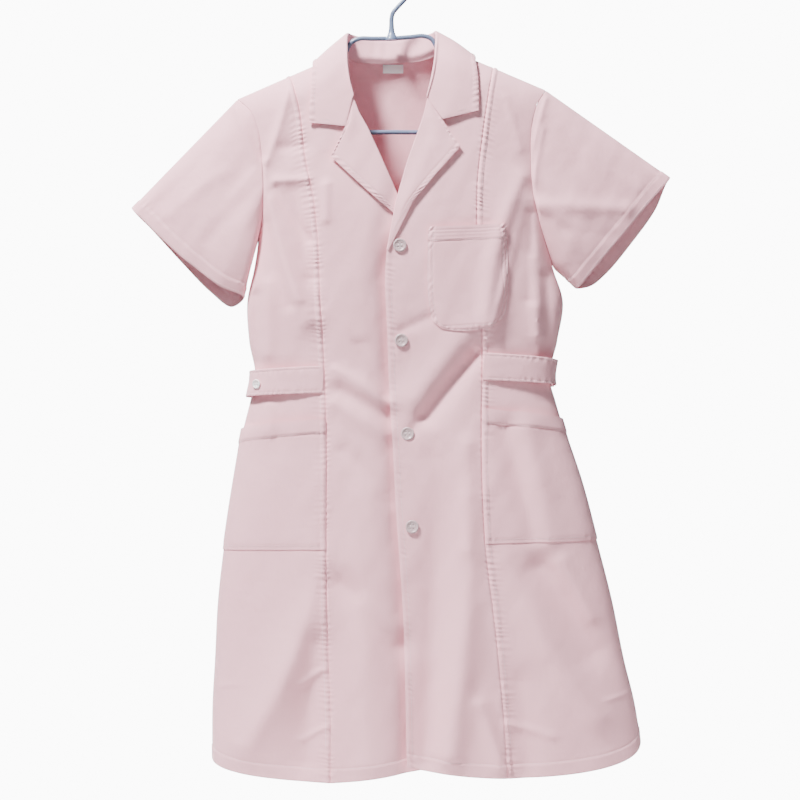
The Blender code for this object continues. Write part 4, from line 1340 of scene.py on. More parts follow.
# Sleeve mouths: turn runs 0 to 1 down the front and 1 to 2 up the back, and puff fills out the middle
CUFF = {
    Side.RIGHT: columns(
        "turn x y drop puff",
        (0.0, -343, 0, 308, 0),
        (0.02, -341, -3.8, 311, 0),
        (0.12, -328, -9, 323, 2),
        (0.3, -303, -14, 348, 4),
        (0.55, -262, -17, 384, 6),
        (0.75, -222, -19, 413, 8),
        (0.88, -197, -15, 423, 7),
        (1.0, -197, 0, 430, 0),
        (1.12, -212, 10, 438, 0),
        (1.3, -240, 15, 418, 3),
        (1.55, -279, 17, 378, 4),
        (1.8, -319, 11, 334, 2),
        (1.98, -341, 3.8, 311, 0),
        (2.0, -343, 0, 308, 0),
    ),
    Side.LEFT: columns(
        "turn x y drop puff",
        (0.0, 368, 0, 268, 0),
        (0.02, 366, -3.8, 271, 0),
        (0.12, 352, -9, 287, 2),
        (0.3, 330, -14, 313, 4),
        (0.55, 299, -17, 350, 6),
        (0.75, 272, -19, 382, 6),
        (0.88, 251, -13, 408, 3),
        (1.0, 244, 0, 414, 0),
        (1.12, 262, 9, 411, 0),
        (1.3, 284, 14, 394, 3),
        (1.55, 316, 15, 356, 4),
        (1.8, 350, 10, 308, 2),
        (1.98, 366, 3.8, 271, 0),
        (2.0, 368, 0, 268, 0),
    ),
}


@dataclass
class Sleeve:
    """A short set-in sleeve, pressed flat, with a turned hem."""

    side: Side
    around: int = 76
    crowding: float = 0.8
    steps: int = 64
    seam_gap: float = 0.3
    underarm_gap: float = 0.5
    hem: Hem = field(default_factory=lambda: Hem(height=16.0))
    edge_stitches: float = 3.0
    seam: PuckeredLine = PuckeredLine(groove=(0.8, 1.4), pucker=0.35, period=9.0, spread=3.5, beside=4.0)
    fold_fade: float = 8.0
    back_folds: float = 0.5
    full_turn: float = 0.6

    def grid(self) -> tuple[ClothGrid, list[Run]]:
        """Lines run from the armhole's points to the mouth's, and the cloth puffs out between them by a
        parabola. Columns go down the front, where turn is 0 to 1, and up the back, where it is 1 to 2."""
        part = crowded(self.around, self.crowding)
        first, last = (float(FORM.level(("side", self.side), np.array(row))) for row in (0, UNDERARM_ROW))
        level = first + (last - first) * part
        arm_x = FORM.boundary_x(("side", self.side), level)
        front, _ = FORM.point(arm_x, level, Face.FRONT)
        back, _ = FORM.point(arm_x, level, Face.BACK)
        front[0, 1] = front[-1, 1] = 0.0
        start = np.concatenate([front, back[-2:0:-1], front[:1]])
        turn = np.concatenate([part, 2 - part[-2:0:-1], [2.0]])
        cuff = CUFF[self.side]
        end = np.stack([smooth(turn, cuff["turn"], cuff[key]) for key in ("x", "y", "drop")], axis=-1)
        end[:, 2] *= -1
        run = unit(end - start)
        round_part = 1 - abs(1 - turn)
        start = start + run * (self.seam_gap + self.underarm_gap * round_part[:, None] ** 4)
        puff = smooth(turn, cuff["turn"], cuff["puff"])[None, :, None]
        steps = crowded(self.steps)[:, None, None]
        outward = np.stack([0 * turn, np.where(turn < 1, -1.0, 1.0), 0 * turn], axis=-1)
        points = start + (end - start) * steps + outward * puff * 4 * steps * (1 - steps)
        centre = points[:, :-1].mean(axis=1, keepdims=True)
        grid = ClothGrid(points, points - centre, ring=True)
        folds = fold_rise(SLEEVE_FOLDS[self.side], grid.points[..., 0], -grid.points[..., 2])
        folds += ripple(grid.points[..., 0], -grid.points[..., 2])
        ahead = -grid.normal[..., 1]
        share = ease(ahead, 0.0, self.full_turn) + self.back_folds * ease(-ahead, 0.0, self.full_turn)
        relief = folds * share * ease(grid.down, 0.0, self.fold_fade)
        relief += self.hem.relief(grid.height - grid.down, grid.across, self.side.value)
        relief += self.seam.relief(grid.down, grid.across, self.side.value)
        grid = grid.lifted(relief)
        return grid, [grid.across_run(line, far=True) for line in (self.hem.height, self.edge_stitches)]

    def build(self, finishes: Finishes) -> list[bpy.types.Object]:
        """Adds the sleeve."""
        return add_cloth("sleeve_" + self.side.word, *self.grid(), finishes)


# The collar at stations from the right notch round the neck to the left notch. At each one the cloth rises
# from the neck seam to the roll and falls over to its outer edge.
COLLAR = columns(
    "place seam_x seam_y seam_drop roll_x roll_y roll_drop mid_x mid_y mid_drop edge_x edge_y edge_drop",
    (0.0, -52, -34.4, 165.5, -49.5, -39.5, 161.5, -60, -42, 203, -108, -38, 198),
    (0.1, -58.3, -30, 139, -56, -36, 137, -82, -38, 162, -107, -35.5, 170),
    (0.2, -64, -21, 117, -59, -26, 106, -82, -31, 128, -105, -30, 143),
    (0.26, -66, -12.5, 109, -59, -14, 90, -81, -18, 105, -104, -20, 125),
    (0.32, -67.6, 0, 104, -57, 0, 77, -80, 2, 93, -103, 2, 115),
    (0.37, -61, 10, 107, -52, 14, 77, -72, 23, 98, -93, 22, 123),
    (0.43, -40, 15.5, 112, -36, 23, 80, -48, 36, 110, -66, 34, 150),
    (0.5, 0, 17.5, 112.6, 0, 27, 83, 0, 38, 120, 0, 36.5, 160),
    (0.57, 40, 15.5, 109.5, 36, 23, 79, 50, 36, 106, 68, 34, 146),
    (0.63, 63, 10, 100, 53, 14, 75, 77, 23, 91, 99, 22, 115),
    (0.68, 70.5, 0, 95, 58, 0, 74, 84, 2, 86, 110, 2, 107),
    (0.74, 69, -13.5, 101, 59, -15, 88, 84, -18, 98, 111, -20, 117),
    (0.8, 66.5, -22, 109.5, 58, -26, 104, 84, -31, 116, 113, -28, 132),
    (0.9, 58.2, -31, 138, 54, -36, 135, 84, -38, 150, 114, -34, 156),
    (1.0, 48.6, -35, 166, 46, -39, 165, 67, -42, 194, 114, -37, 182),
)


@dataclass
class Collar:
    """Stand and fall in one folded piece, with a corner at each notch and stitches inside its edge.

    The stitches beside the short ends run over the outer part of the fall only.
    """

    stations: int = 190
    stand_rows: int = 7
    roll_rows: int = 8
    fall_rows: int = 26
    roll: float = 2.4
    notch_roll: float = 0.8
    notch_reach: float = 0.2
    notch_corner: float = 0.02
    soft_corner: float = 0.25
    corner_reach: float = 0.12
    stitch_line: float = 6.8
    stitch_run: tuple[float, float] = (0.035, 0.965)
    end_run: tuple[float, float] = (0.75, 0.9)
    plump: float = 0.6
    plump_spread: float = 2.2
    pucker: float = 1.0
    period: float = 7.5
    phase: float = 0.7
    groove: tuple[float, float] = (0.5, 1.0)
    edge: tuple[float, float] = (0.4, 0.8)
    end_edge: tuple[float, float] = (0.4, 0.9)
    foot: tuple[float, float] = (0.5, 1.0)
    stand_creases: tuple[tuple[float, float], ...] = ((0.485, 0.008), (0.53, 0.006), (0.46, 0.01))
    stand_rise: float = -1.0
    crease_place: float = 0.55
    crease_height: float = 0.4
    seam_tuck: float = 2.2
    tuck_in: float = 1.6
    tuck_reach: tuple[float, float] = (0.12, 0.3)

    def grid(self) -> tuple[ClothGrid, list[Run]]:
        """The stand is straight from the seam to the roll, a parabola passes over the roll, and the fall is
        two straight stretches whose corner is eased by w ln(1 + e^(t/w)), sharp at the notches."""
        place = np.linspace(0, 1, self.stations + 1)

        def line(key: str) -> Array:
            """One named line of the table round the neck."""
            x, y, drop = (smooth(place, COLLAR["place"], COLLAR[key + end]) for end in ("_x", "_y", "_drop"))
            return np.stack([x, y, -drop], axis=-1)

        seam, roll, middle, edge = line("seam"), line("roll"), line("mid"), line("edge")
        over = unit(middle - seam)
        up = roll - (seam + middle) / 2
        up = unit(up - over * (up * over).sum(axis=-1, keepdims=True))
        inward = np.minimum(place, 1 - place)[:, None]
        reach = self.roll * (self.notch_roll + (1 - self.notch_roll) * ease(inward, 0.0, self.notch_reach))
        near, far = roll - (up + over) * reach, roll - (up - over) * reach
        tuck = unit(seam - near) * self.seam_tuck + np.array((0.0, -self.tuck_in, 0.0))
        seam = seam + tuck * ease(inward, *self.tuck_reach)
        t = np.linspace(0, 1, self.stand_rows + 1)[:-1, None, None]
        stand = seam + (near - seam) * t
        t = np.linspace(0, 1, self.roll_rows + 1)[:-1, None, None]
        bend = near * (1 - t) * (1 - 2 * t) + roll * 4 * t * (1 - t) + far * t * (2 * t - 1)
        t = np.linspace(0, 1, self.fall_rows + 1)[:, None, None]
        rounding = ease(inward, 0.0, self.corner_reach)
        soft = self.notch_corner + (self.soft_corner - self.notch_corner) * rounding
        ramp = soft * np.logaddexp(0.0, (2 * t - 1) / soft)
        fall = far + (middle - far) * (2 * t - ramp) + (edge - middle) * ramp
        points = np.concatenate([stand, bend, fall])
        out = np.cross(np.gradient(points, axis=1), np.gradient(points, axis=0))
        grid = ClothGrid(points, out)
        to_edge = grid.height - grid.down
        ends = np.minimum(grid.across, grid.width - grid.across)
        falling = (np.arange(len(points)) > self.stand_rows + self.roll_rows)[:, None]
        wave = wander(grid.across, self.period, self.phase)
        allowance = bell(to_edge, self.stitch_line / 2, self.stitch_line / self.plump_spread)
        relief = (self.plump + self.pucker * wave) * allowance
        relief += dent(to_edge - self.stitch_line, self.groove) + dent(to_edge, self.edge)
        relief *= falling
        row = np.arange(len(points))[:, None]
        standing = bell(row / self.stand_rows, self.crease_place, self.crease_height) * (1 - falling)
        for crease, width in self.stand_creases:
            relief += self.stand_rise * bell(place[None, :], crease, width) * standing
        relief += dent(ends, self.end_edge) + dent(grid.down, self.foot)
        grid = grid.lifted(relief)
        runs = [grid.across_run(self.stitch_line, far=True).part(*self.stitch_run)]
        runs += [grid.down_run(self.stitch_line, far).part(*self.end_run) for far in (False, True)]
        return grid, runs

    def build(self, finishes: Finishes) -> list[bpy.types.Object]:
        """Adds the collar."""
        return add_cloth("collar", *self.grid(), finishes, thickness=0.7)


# Lapels: the turned facing between the roll line and its outer edge
LAPEL = {
    Side.RIGHT: columns(
        "place roll_x roll_drop edge_x edge_drop",
        (0.0, -51, 165, -52.5, 171),
        (0.12, -43, 186, -60, 204),
        (0.3, -32, 205, -79, 243),
        (0.55, -17, 238, -52, 269),
        (0.78, -2, 272, -23, 295),
        (1.0, 11, 302, 3, 317),
    ),
    Side.LEFT: columns(
        "place roll_x roll_drop edge_x edge_drop",
        (0.0, 48, 167, 51, 171.5),
        (0.12, 43, 188, 67, 196),
        (0.3, 36, 209, 90, 230),
        (0.5, 22, 248, 58, 266),
        (0.72, 7, 301, 28, 302),
        (1.0, -5, 364, -4, 365.5),
    ),
}


@dataclass
class Lapel:
    """A lapel that rolls out of its front's edge and lies on the chest, a little proud at its outer edge."""

    side: Side
    cols: int = 38
    crowding: float = 0.4
    bend_cols: int = 7
    rows: int = 90
    roll: float = 1.3
    edge_lift: float = 5.5
    full_width: float = 30.0
    belly: float = 1.2
    stitch_line: float = 6.5
    stitch_runs: tuple[tuple[float, float], ...] = ((0.17, 0.29), (0.315, 0.9))
    groove: tuple[float, float] = (0.5, 1.0)
    groove_from: tuple[float, float] = (16.0, 24.0)
    pucker: float = 0.9
    period: float = 7.5
    pucker_place: float = 3.4
    pucker_width: float = 3.0
    edge: tuple[float, float] = (0.4, 0.8)

    def grid(self) -> tuple[ClothGrid, list[Run]]:
        """A half circle carries the cloth from the front's edge up to the roll, and from there each row runs
        straight to the outer edge while its lift rises from the roll's height to the edge's."""
        table = LAPEL[self.side]
        place = np.unique(np.concatenate([np.linspace(0, 1, self.rows + 1), table["place"]]))[:, None]
        across = crowded(self.cols, self.crowding)[None, :]

        def edge(key: str) -> Array:
            """One named column of the table, straight between its places."""
            return np.interp(place, table["place"], table[key])

        x = edge("roll_x") + (edge("edge_x") - edge("roll_x")) * across
        drop = edge("roll_drop") + (edge("edge_drop") - edge("roll_drop")) * across
        width = np.hypot(edge("edge_x") - edge("roll_x"), edge("edge_drop") - edge("roll_drop"))
        share = ease(width, 0.0, self.full_width)
        lift = 2 * self.roll + (self.edge_lift - 2 * self.roll) * share * across
        lift = lift + self.belly * share * np.sin(math.pi * across) ** 2
        under = self.side is Side.RIGHT
        laid, _ = FORM.point(x, drop, Face.FRONT, lift, under=under)
        base, normal = FORM.point(x[:, :1], drop[:, :1], Face.FRONT, under=under)
        opening = np.gradient(base[:, 0], axis=0)
        opening = unit(np.cross(opening, normal[:, 0]))[:, None] * -self.side.value
        opening *= np.sign((opening * (-self.side.value, 0, 0)).sum())
        turn = np.linspace(0, math.pi, self.bend_cols + 1)[:-1][None, :, None]
        bend = base + opening * self.roll * np.sin(turn) + normal * self.roll * (1 - np.cos(turn))
        points = np.concatenate([bend, laid], axis=1)
        grid = ClothGrid(points, np.broadcast_to((0.0, -1.0, 0.0), points.shape))
        to_edge = grid.width - grid.across
        wave = wander(grid.down, self.period, self.side.value)
        relief = self.pucker * wave * bell(to_edge, self.pucker_place, self.pucker_width)
        relief += dent(to_edge - self.stitch_line, self.groove) * ease(grid.width, *self.groove_from)
        relief += dent(to_edge, self.edge)
        grid = grid.lifted(relief * share)
        run = grid.down_run(self.stitch_line, far=True)
        return grid, [run.part(*shares) for shares in self.stitch_runs]

    def build(self, finishes: Finishes) -> list[bpy.types.Object]:
        """Adds the lapel."""
        return add_cloth(
            "lapel_" + self.side.word, *self.grid(), finishes, 0.7, ("front_centre_" + self.side.word,)
        )


# The chest pocket's two sides, from its top edge to its rounded foot
CHEST_POCKET = columns(
    "down x0 drop0 x1 drop1",
    (0.0, 48, 335, 149, 331),
    (0.12, 47, 352, 150, 346),
    (0.5, 46, 400, 152, 397),
    (0.8, 49, 440, 151, 436),
    (0.92, 54, 458, 147, 451),
    (1.0, 66, 468, 136, 463),
)


@dataclass
class ChestPocket:
    """The patch pocket across the left princess seam, with a stitched band at its mouth."""

    rows: int = 72
    cols: int = 56
    foot: float = 5.0
    foot_start: float = 0.6
    band: float = 19.0
    band_plump: float = 0.7
    band_grooves: tuple[tuple[float, float], ...] = ((1.0, 0.9), (0.27, 0.35), (0.5, 0.35), (0.75, 0.35))
    band_run: tuple[float, float] = (0.03, 0.97)
    band_width: float = 1.0
    lift: tuple[float, float] = (1.3, 3.0)
    slack: float = 6.0
    gape: float = 1.4
    gape_height: float = 14.0
    gape_side: float = 30.0
    stitch_lines: tuple[float, float] = (1.8, 7.4)
    side_run: tuple[float, float] = (0.02, 0.9)
    foot_run: tuple[float, float] = (0.12, 0.88)
    groove: tuple[float, float] = (0.5, 0.9)
    pucker: float = 0.7
    period: float = 8.0
    phase: float = 0.4
    pucker_place: float = 4.5
    pucker_width: float = 3.0
    wall: float = 0.7

    def grid(self) -> tuple[ClothGrid, list[Run]]:
        """Rows run between the two sides, and a parabola rounds the foot."""
        down, across = crowded(self.rows)[:, None], crowded(self.cols)[None, :]
        first_x, second_x, first, second = (
            smooth(down, CHEST_POCKET["down"], CHEST_POCKET[key]) for key in ("x0", "x1", "drop0", "drop1")
        )
        x = first_x + (second_x - first_x) * across
        foot = self.foot * 4 * across * (1 - across) * ease(down, self.foot_start, 1.0)
        drop = first + (second - first) * across + foot
        points, out = FORM.point(x, drop, Face.FRONT)
        grid = ClothGrid(points, out)
        side = np.minimum(grid.across, grid.width - grid.across)
        to_edge = np.minimum(side, grid.height - grid.down)
        close, slack = self.lift
        lift = close + (slack - close) * (1 - np.exp(-to_edge / self.slack))
        lift += self.gape * bell(grid.down, 0.0, self.gape_height) * ease(side, 0.0, self.gape_side)
        lift += self.band_plump * turned_under(grid.down, self.band)
        for share, depth in self.band_grooves:
            lift += dent(grid.down - self.band * share, (depth, self.band_width))
        for line in self.stitch_lines:
            lift += dent(to_edge - line, self.groove)
        wave = wander(grid.across + grid.down, self.period, self.phase)
        lift += self.pucker * wave * bell(to_edge, self.pucker_place, self.pucker_width)
        grid = grid.lifted(lift)
        runs = [grid.across_run(self.band).part(*self.band_run)]
        for line in self.stitch_lines:
            runs += [grid.down_run(line, far).part(*self.side_run) for far in (False, True)]
            runs.append(grid.across_run(line, far=True).part(*self.foot_run))
        return grid, runs

    def build(self, finishes: Finishes) -> list[bpy.types.Object]:
        """Adds the chest pocket."""
        rests = ("front_centre_left", "front_side_left")
        return add_cloth("chest_pocket", *self.grid(), finishes, self.wall, rests)


# Where along a tab its three lifts hold
TAB_PLACES = np.array((0.0, 0.45, 1.0))


@dataclass
class WaistTab:
    """A strip round the waist, from one angle and drop to another, whose lift has three values along it."""

    name: str
    angles: tuple[float, float]
    lifts: tuple[float, float, float]
    drops: tuple[float, float]
    rests_on: tuple[str, ...] = ("front_side_right",)
    height: float = 36.0
    thickness: float = 1.5
    cols: int = 96
    rows: int = 24
    crowding: float = 0.7
    stitch_line: float = 3.2
    long_run: tuple[float, float] = (0.01, 0.99)
    end_run: tuple[float, float] = (0.16, 0.84)
    pucker: float = 0.5
    period: float = 9.0
    pucker_width: float = 3.5
    groove: tuple[float, float] = (0.6, 0.8)
    edge: tuple[float, float] = (0.7, 0.9)
    fullness: float = 0.5
    full_from: tuple[float, float] = (2.0, 12.0)

    def lift_at(self, along: Array) -> Array:
        """How far the tab's outer face stands off the plain waist, at a share of its length."""
        return smooth(along, TAB_PLACES, np.array(self.lifts, float))

    def grid(self) -> tuple[ClothGrid, list[Run]]:
        """Angle and drop run evenly along the strip, whose edges are rounded and whose middle is full."""
        along = np.linspace(0, 1, self.cols + 1)[None, :]
        down = crowded(self.rows, self.crowding)[:, None]
        angle = self.angles[0] + (self.angles[1] - self.angles[0]) * along + 0 * down
        drop = self.drops[0] + (self.drops[1] - self.drops[0]) * along + self.height * down
        points = FORM.around(angle, drop, self.lift_at(along) + 0 * down)
        grid = ClothGrid(points, points * (1.0, 1.0, 0.0))
        side = np.minimum(grid.down, grid.height - grid.down)
        ends = np.minimum(grid.across, grid.width - grid.across)
        to_edge = np.minimum(side, ends)
        wave = wander(grid.across, self.period, self.angles[0])
        relief = self.pucker * wave * bell(side, self.stitch_line, self.pucker_width)
        relief += dent(to_edge - self.stitch_line, self.groove) + dent(to_edge, self.edge)
        relief += self.fullness * ease(to_edge, *self.full_from)
        grid = grid.lifted(relief)
        runs = [grid.across_run(self.stitch_line, far).part(*self.long_run) for far in (False, True)]
        runs.append(grid.down_run(self.stitch_line, far=True).part(*self.end_run))
        return grid, runs

    def build(self, finishes: Finishes) -> list[bpy.types.Object]:
        """Adds the tab."""
        return add_cloth(self.name, *self.grid(), finishes, self.thickness, self.rests_on)


TABS = {
    tab.name: tab
    for tab in (
        WaistTab("waist_tab_right", (-32, -98), (2.85, 8.0, 7.4), (516, 523)),
        WaistTab("waist_tab_left", (32.5, 106), (2.7, 8.0, 7.0), (499, 509), ("front_side_left",)),
        WaistTab("back_tab_right", (-76, -150), (4.7, 4.3, 2.7), (522, 524), ("back",)),
        WaistTab("back_tab_left", (82, 150), (4.2, 3.6, 2.7), (508, 510), ("back",)),
    )
}

# A turned button's profile, from the middle of its foot round its raised rim to the middle of its face
BUTTON_PROFILE = columns(
    "step part height",
    (0, 0.0, 0.0), (1, 0.55, 0.0), (2, 0.9, 0.2), (3, 1.0, 1.1), (4, 0.93, 2.2), (5, 0.78, 2.4),
    (6, 0.62, 1.7), (7, 0.3, 1.5), (8, 0.0, 1.5),
)


@dataclass
class Button:
    """A four-hole button with a raised rim, sewn on with two bars of thread."""

    name: str
    centre: Array
    normal: Array
    radius: float
    white: bool = False
    sides: int = 48
    rings: int = 40
    hole_place: float = 0.26
    hole_radius: float = 0.85
    hole_depth: float = 1.1
    face_from: float = 5.0
    least_reach: float = 0.02
    thread_apart: float = 0.22
    thread_height: float = 1.2
    thread_radius: float = 0.28
    thread_rise: float = 0.6
    thread_pitch: float = 20.0

    def frame(self) -> tuple[Array, Array, Array]:
        """The button's side, up and outward directions."""
        normal = unit(self.normal)
        side = unit(np.cross(normal, (0.0, 0.0, 1.0)))
        return side, np.cross(side, normal), normal

    def mesh(self) -> tuple[Array, list[Array]]:
        """The profile turned round the middle, with four bell-shaped pits for the holes. Both ends of the
        profile close in one point."""
        side, up, normal = self.frame()
        steps = BUTTON_PROFILE["step"]
        step = np.linspace(0, steps[-1], self.rings + 1)[1:-1]
        part, height = (smooth(step, steps, BUTTON_PROFILE[key]) for key in ("part", "height"))
        turn = np.arange(self.sides) * 2 * math.pi / self.sides
        reach = np.clip(part, self.least_reach, 1.0)[:, None] * self.radius
        a, b = reach * np.cos(turn), reach * np.sin(turn)
        hole = self.hole_place * self.radius
        pits = sum(
            np.exp(-(((a - i * hole) ** 2 + (b - j * hole) ** 2) / self.hole_radius**2) ** 2)
            for i in (-1, 1)
            for j in (-1, 1)
        )
        height = height[:, None] - self.hole_depth * pits * (step > self.face_from)[:, None]
        rings = self.centre + a[..., None] * side + b[..., None] * up + height[..., None] * normal
        top = self.centre + normal * BUTTON_PROFILE["height"][-1]
        points = np.concatenate([rings.reshape(-1, 3), [self.centre, top]])
        ids = np.arange(rings.shape[0] * self.sides).reshape(-1, self.sides)
        ids = np.concatenate([ids, ids[:, :1]], axis=1)
        foot, face = len(points) - 2, len(points) - 1
        low = np.stack([np.full(self.sides, foot), ids[0, 1:], ids[0, :-1]], axis=-1)
        high = np.stack([np.full(self.sides, face), ids[-1, :-1], ids[-1, 1:]], axis=-1)
        return points, [quads_of(ids), np.concatenate([low, high])]

    def build(self, finishes: Finishes) -> list[bpy.types.Object]:
        """Adds the button and the thread that crosses its face."""
        points, faces = self.mesh()
        quads = faces[0]
        a, b, c = (points[quads[:, k]] for k in range(3))
        if (np.cross(b - a, c - a) * (a - points.mean(axis=0))).sum() < 0:
            faces = [part[:, ::-1] for part in faces]
        resin = finishes.tab_button if self.white else finishes.button
        made = add_piece(self.name + "_resin", points, faces, resin)
        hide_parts(self.name)
        side, up, normal = self.frame()
        hole = self.hole_place * self.radius
        bars = []
        for i in (-1, 1):
            for shift in (-self.thread_apart, self.thread_apart):
                middle = self.centre + side * (i * hole + shift) + normal * self.thread_height
                ends = [middle + up * j * hole for j in (-1, 0, 1)]
                bars.append(Run(np.array(ends), np.tile(normal, (3, 1))))
        thread = StitchRow(self.thread_pitch, hole * 2, self.thread_radius, self.thread_rise)
        return [made, thread.add(self.name + "_thread", bars, finishes.thread)]


# The front buttons' x and drop, and the tab buttons' angle and drop
FRONT_BUTTONS = ((11, 359), (13, 483), (21, 605), (27, 726))
TAB_BUTTONS = {"right": (-72, 541), "left": (101, 526)}


@dataclass
class Buttons:
    """Four buttons on the left front's edge, and one on each waist tab near its end."""

    gap: float = 0.7
    radius: float = 8.8
    tab_gap: float = 0.8
    tab_radius: float = 6.2
    beside: float = 3.0

    def build(self, finishes: Finishes) -> list[bpy.types.Object]:
        """Adds the six buttons where the solids have them."""
        made = []
        for number, (x, drop) in enumerate(FRONT_BUTTONS, 1):
            point, normal = FORM.point(x, drop, Face.FRONT, self.gap)
            made += Button(f"front_button_{number}", point, normal, self.radius).build(finishes)
        for word, (angle, drop) in TAB_BUTTONS.items():
            tab = TABS["waist_tab_" + word]
            along = (angle - tab.angles[0]) / (tab.angles[1] - tab.angles[0])
            spread = np.array([[angle - self.beside, angle, angle + self.beside]])
            level = np.full((1, 3), float(drop))
            before, point, after = FORM.around(spread, level, tab.lift_at(along))[0]
            normal = np.cross((0, 0, 1.0), after - before)
            normal = unit(normal * np.sign(normal @ (point * (1, 1, 0))))
            centre = point + normal * self.tab_gap
            made += Button("tab_button_" + word, centre, normal, self.tab_radius, True).build(finishes)
        return made


@dataclass
class NeckLabel:
    """A blank woven label that hangs from the back neck seam, inside."""

    width: float = 27.0
    height: float = 11.0
    x: float = 2.0
    top: float = 115.5
    gap: float = 0.6
    wall: float = 0.5
    curl: float = 0.8
    back_thickness: float = 1.5
    cols: int = 24
    rows: int = 14

    def build(self, finishes: Finishes) -> list[bpy.types.Object]:
        """A flat strip against the back's inner face, whose lower edge curls off it as a parabola."""
        across = np.linspace(-0.5, 0.5, self.cols + 1)[None, :]
        down = np.linspace(0, 1, self.rows + 1)[:, None]
        x = self.x + across * self.width + 0 * down
        drop = self.top + down * self.height + 0 * across
        inward = self.back_thickness + self.gap + self.curl * down**2 * (1 - 2 * across**2)
        points, normal = FORM.point(x, drop, Face.BACK, -inward)
        grid = ClothGrid(points, -normal)
        made = add_wall("neck_label_tape", grid, self.wall, finishes.label)
        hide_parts("neck_label")
        return [made]


# The hanger's right arm from the stem to the cross bar. The left arm mirrors it, moved by its own offsets.
ARM = columns(
    "x drop",
    (0, 84), (25, 84), (44, 84.5), (53, 89), (59, 99), (68, 112.5), (88, 121.5), (120, 135.5), (155, 151),
    (174, 160), (180, 170), (181, 184), (178, 197), (168, 206.5), (150, 208), (60, 208), (3, 207.5),
)
LEFT_ARM_RISE = columns("x rise", (0, 0), (60, 5), (90, 10), (150, 12), (181, 13))
STEM = columns(
    "x drop radius",
    (0, 86, 8.6), (0, 83.5, 8.2), (0, 79, 5.6), (0, 74, 4.0), (0, 66, 3.2), (0, 58, 3.0), (2, 50, 3.0),
    (7.5, 43, 3.0),
)


@dataclass
class Hanger:
    """Arms and cross bar as one loop of tube, and the stem and hook over it."""

    tube_radius: float = 3.0
    hook_radius: float = 19.0
    hook_turn: tuple[float, float] = (-48.0, 200.0)
    arm_bend: tuple[float, float] = (160, 206)
    sides: int = 20
    arm_steps: int = 120
    stem_steps: int = 40
    hook_steps: int = 56
    tip_steps: int = 6
    tip_short: float = 0.05

    def tube(self, path: Array, radius: Array | float, ring: bool) -> tuple[Array, list[Array]]:
        """A circle carried along a path in the hanger's plane, square to it, as a loop or with round ends.

        Args:
            path: the points of the middle line.
            radius: the radius at each of them, or one for all.
            ring: whether the path closes.

        Returns:
            The points and the faces.
        """
        count = len(path)
        steps = np.roll(path, -1, axis=0) - np.roll(path, 1, axis=0) if ring else np.gradient(path, axis=0)
        tangent, side = unit(steps), np.array([0.0, 1.0, 0.0])
        up = np.cross(tangent, side)
        turn = np.arange(self.sides) * 2 * math.pi / self.sides
        reach = np.broadcast_to(np.asarray(radius, float), (count,))[:, None, None]
        offsets = np.cos(turn)[None, :, None] * side + np.sin(turn)[None, :, None] * up[:, None, :]
        points = (path[:, None, :] + offsets * reach).reshape(-1, 3)
        ids = np.arange(count * self.sides).reshape(count, self.sides)
        ids = np.concatenate([ids, ids[:, :1]], axis=1)
        if ring:
            return points, [quads_of(np.concatenate([ids, ids[:1]]))]
        points = np.concatenate([points, path[:1], path[-1:]])
        first, last = len(points) - 2, len(points) - 1
        caps = np.concatenate([
            np.stack([np.full(self.sides, first), ids[0, 1:], ids[0, :-1]], axis=-1),
            np.stack([np.full(self.sides, last), ids[-1, :-1], ids[-1, 1:]], axis=-1),
        ])
        return points, [quads_of(ids), caps]

    def loop(self) -> Array:
        """The middle line of the arms and the cross bar."""
        length = np.insert(np.cumsum(np.hypot(np.diff(ARM["x"]), np.diff(ARM["drop"]))), 0, 0.0)
        at = np.linspace(0, length[-1], self.arm_steps)
        x, drop = smooth(at, length, ARM["x"]), smooth(at, length, ARM["drop"])
        rise = np.interp(x, LEFT_ARM_RISE["x"], LEFT_ARM_RISE["rise"]) * (1 - ease(drop, *self.arm_bend))
        right = np.stack([-x, 0 * x, -drop], axis=-1)
        left = np.stack([x, 0 * x, -(drop - rise)], axis=-1)
        return np.concatenate([right, left[-2:0:-1]])

    def hook(self) -> tuple[Array, Array]:
        """The middle line and radii of the stem and the hook, which ends in a round tip."""
        turn = np.radians(np.linspace(*self.hook_turn, self.hook_steps))
        reach = self.hook_radius + self.tube_radius
        bend = np.stack([reach * np.cos(turn), 0 * turn, reach * np.sin(turn) - self.hook_radius], axis=-1)
        at = np.linspace(0, len(STEM["x"]) - 1, self.stem_steps)
        rows = np.arange(len(STEM["x"]), dtype=float)
        x, drop, radius = (smooth(at, rows, STEM[key]) for key in ("x", "drop", "radius"))
        stem = np.stack([x, 0 * x, -drop], axis=-1)
        heading = unit(bend[-1] - bend[-2])
        tip_turn = np.linspace(0, math.pi / 2 - self.tip_short, self.tip_steps + 1)[1:]
        tip = bend[-1] + heading * (np.sin(tip_turn) * self.tube_radius)[:, None]
        radii = [radius, np.full(self.hook_steps, self.tube_radius), np.cos(tip_turn) * self.tube_radius]
        return np.concatenate([stem, bend, tip]), np.concatenate(radii)

    def build(self, finishes: Finishes) -> list[bpy.types.Object]:
        """Adds the hanger as one piece."""
        points, faces = self.tube(self.loop(), self.tube_radius, ring=True)
        more, hook_faces = self.tube(*self.hook(), ring=False)
        shells = []
        for some, cells in ((points, faces), (more, hook_faces)):
            corners = [some[cells[0][:, k]] for k in range(3)]
            if np.linalg.det(np.stack(corners, axis=1)).sum() < 0:
                cells = [part[:, ::-1] for part in cells]
            shells.append(cells)
        quads = np.concatenate([shells[0][0], shells[1][0] + len(points)])
        made = add_piece(
            "hanger_plastic", np.concatenate([points, more]), [quads, shells[1][1] + len(points)],
            finishes.hanger,
        )
        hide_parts("hanger")
        return [made]


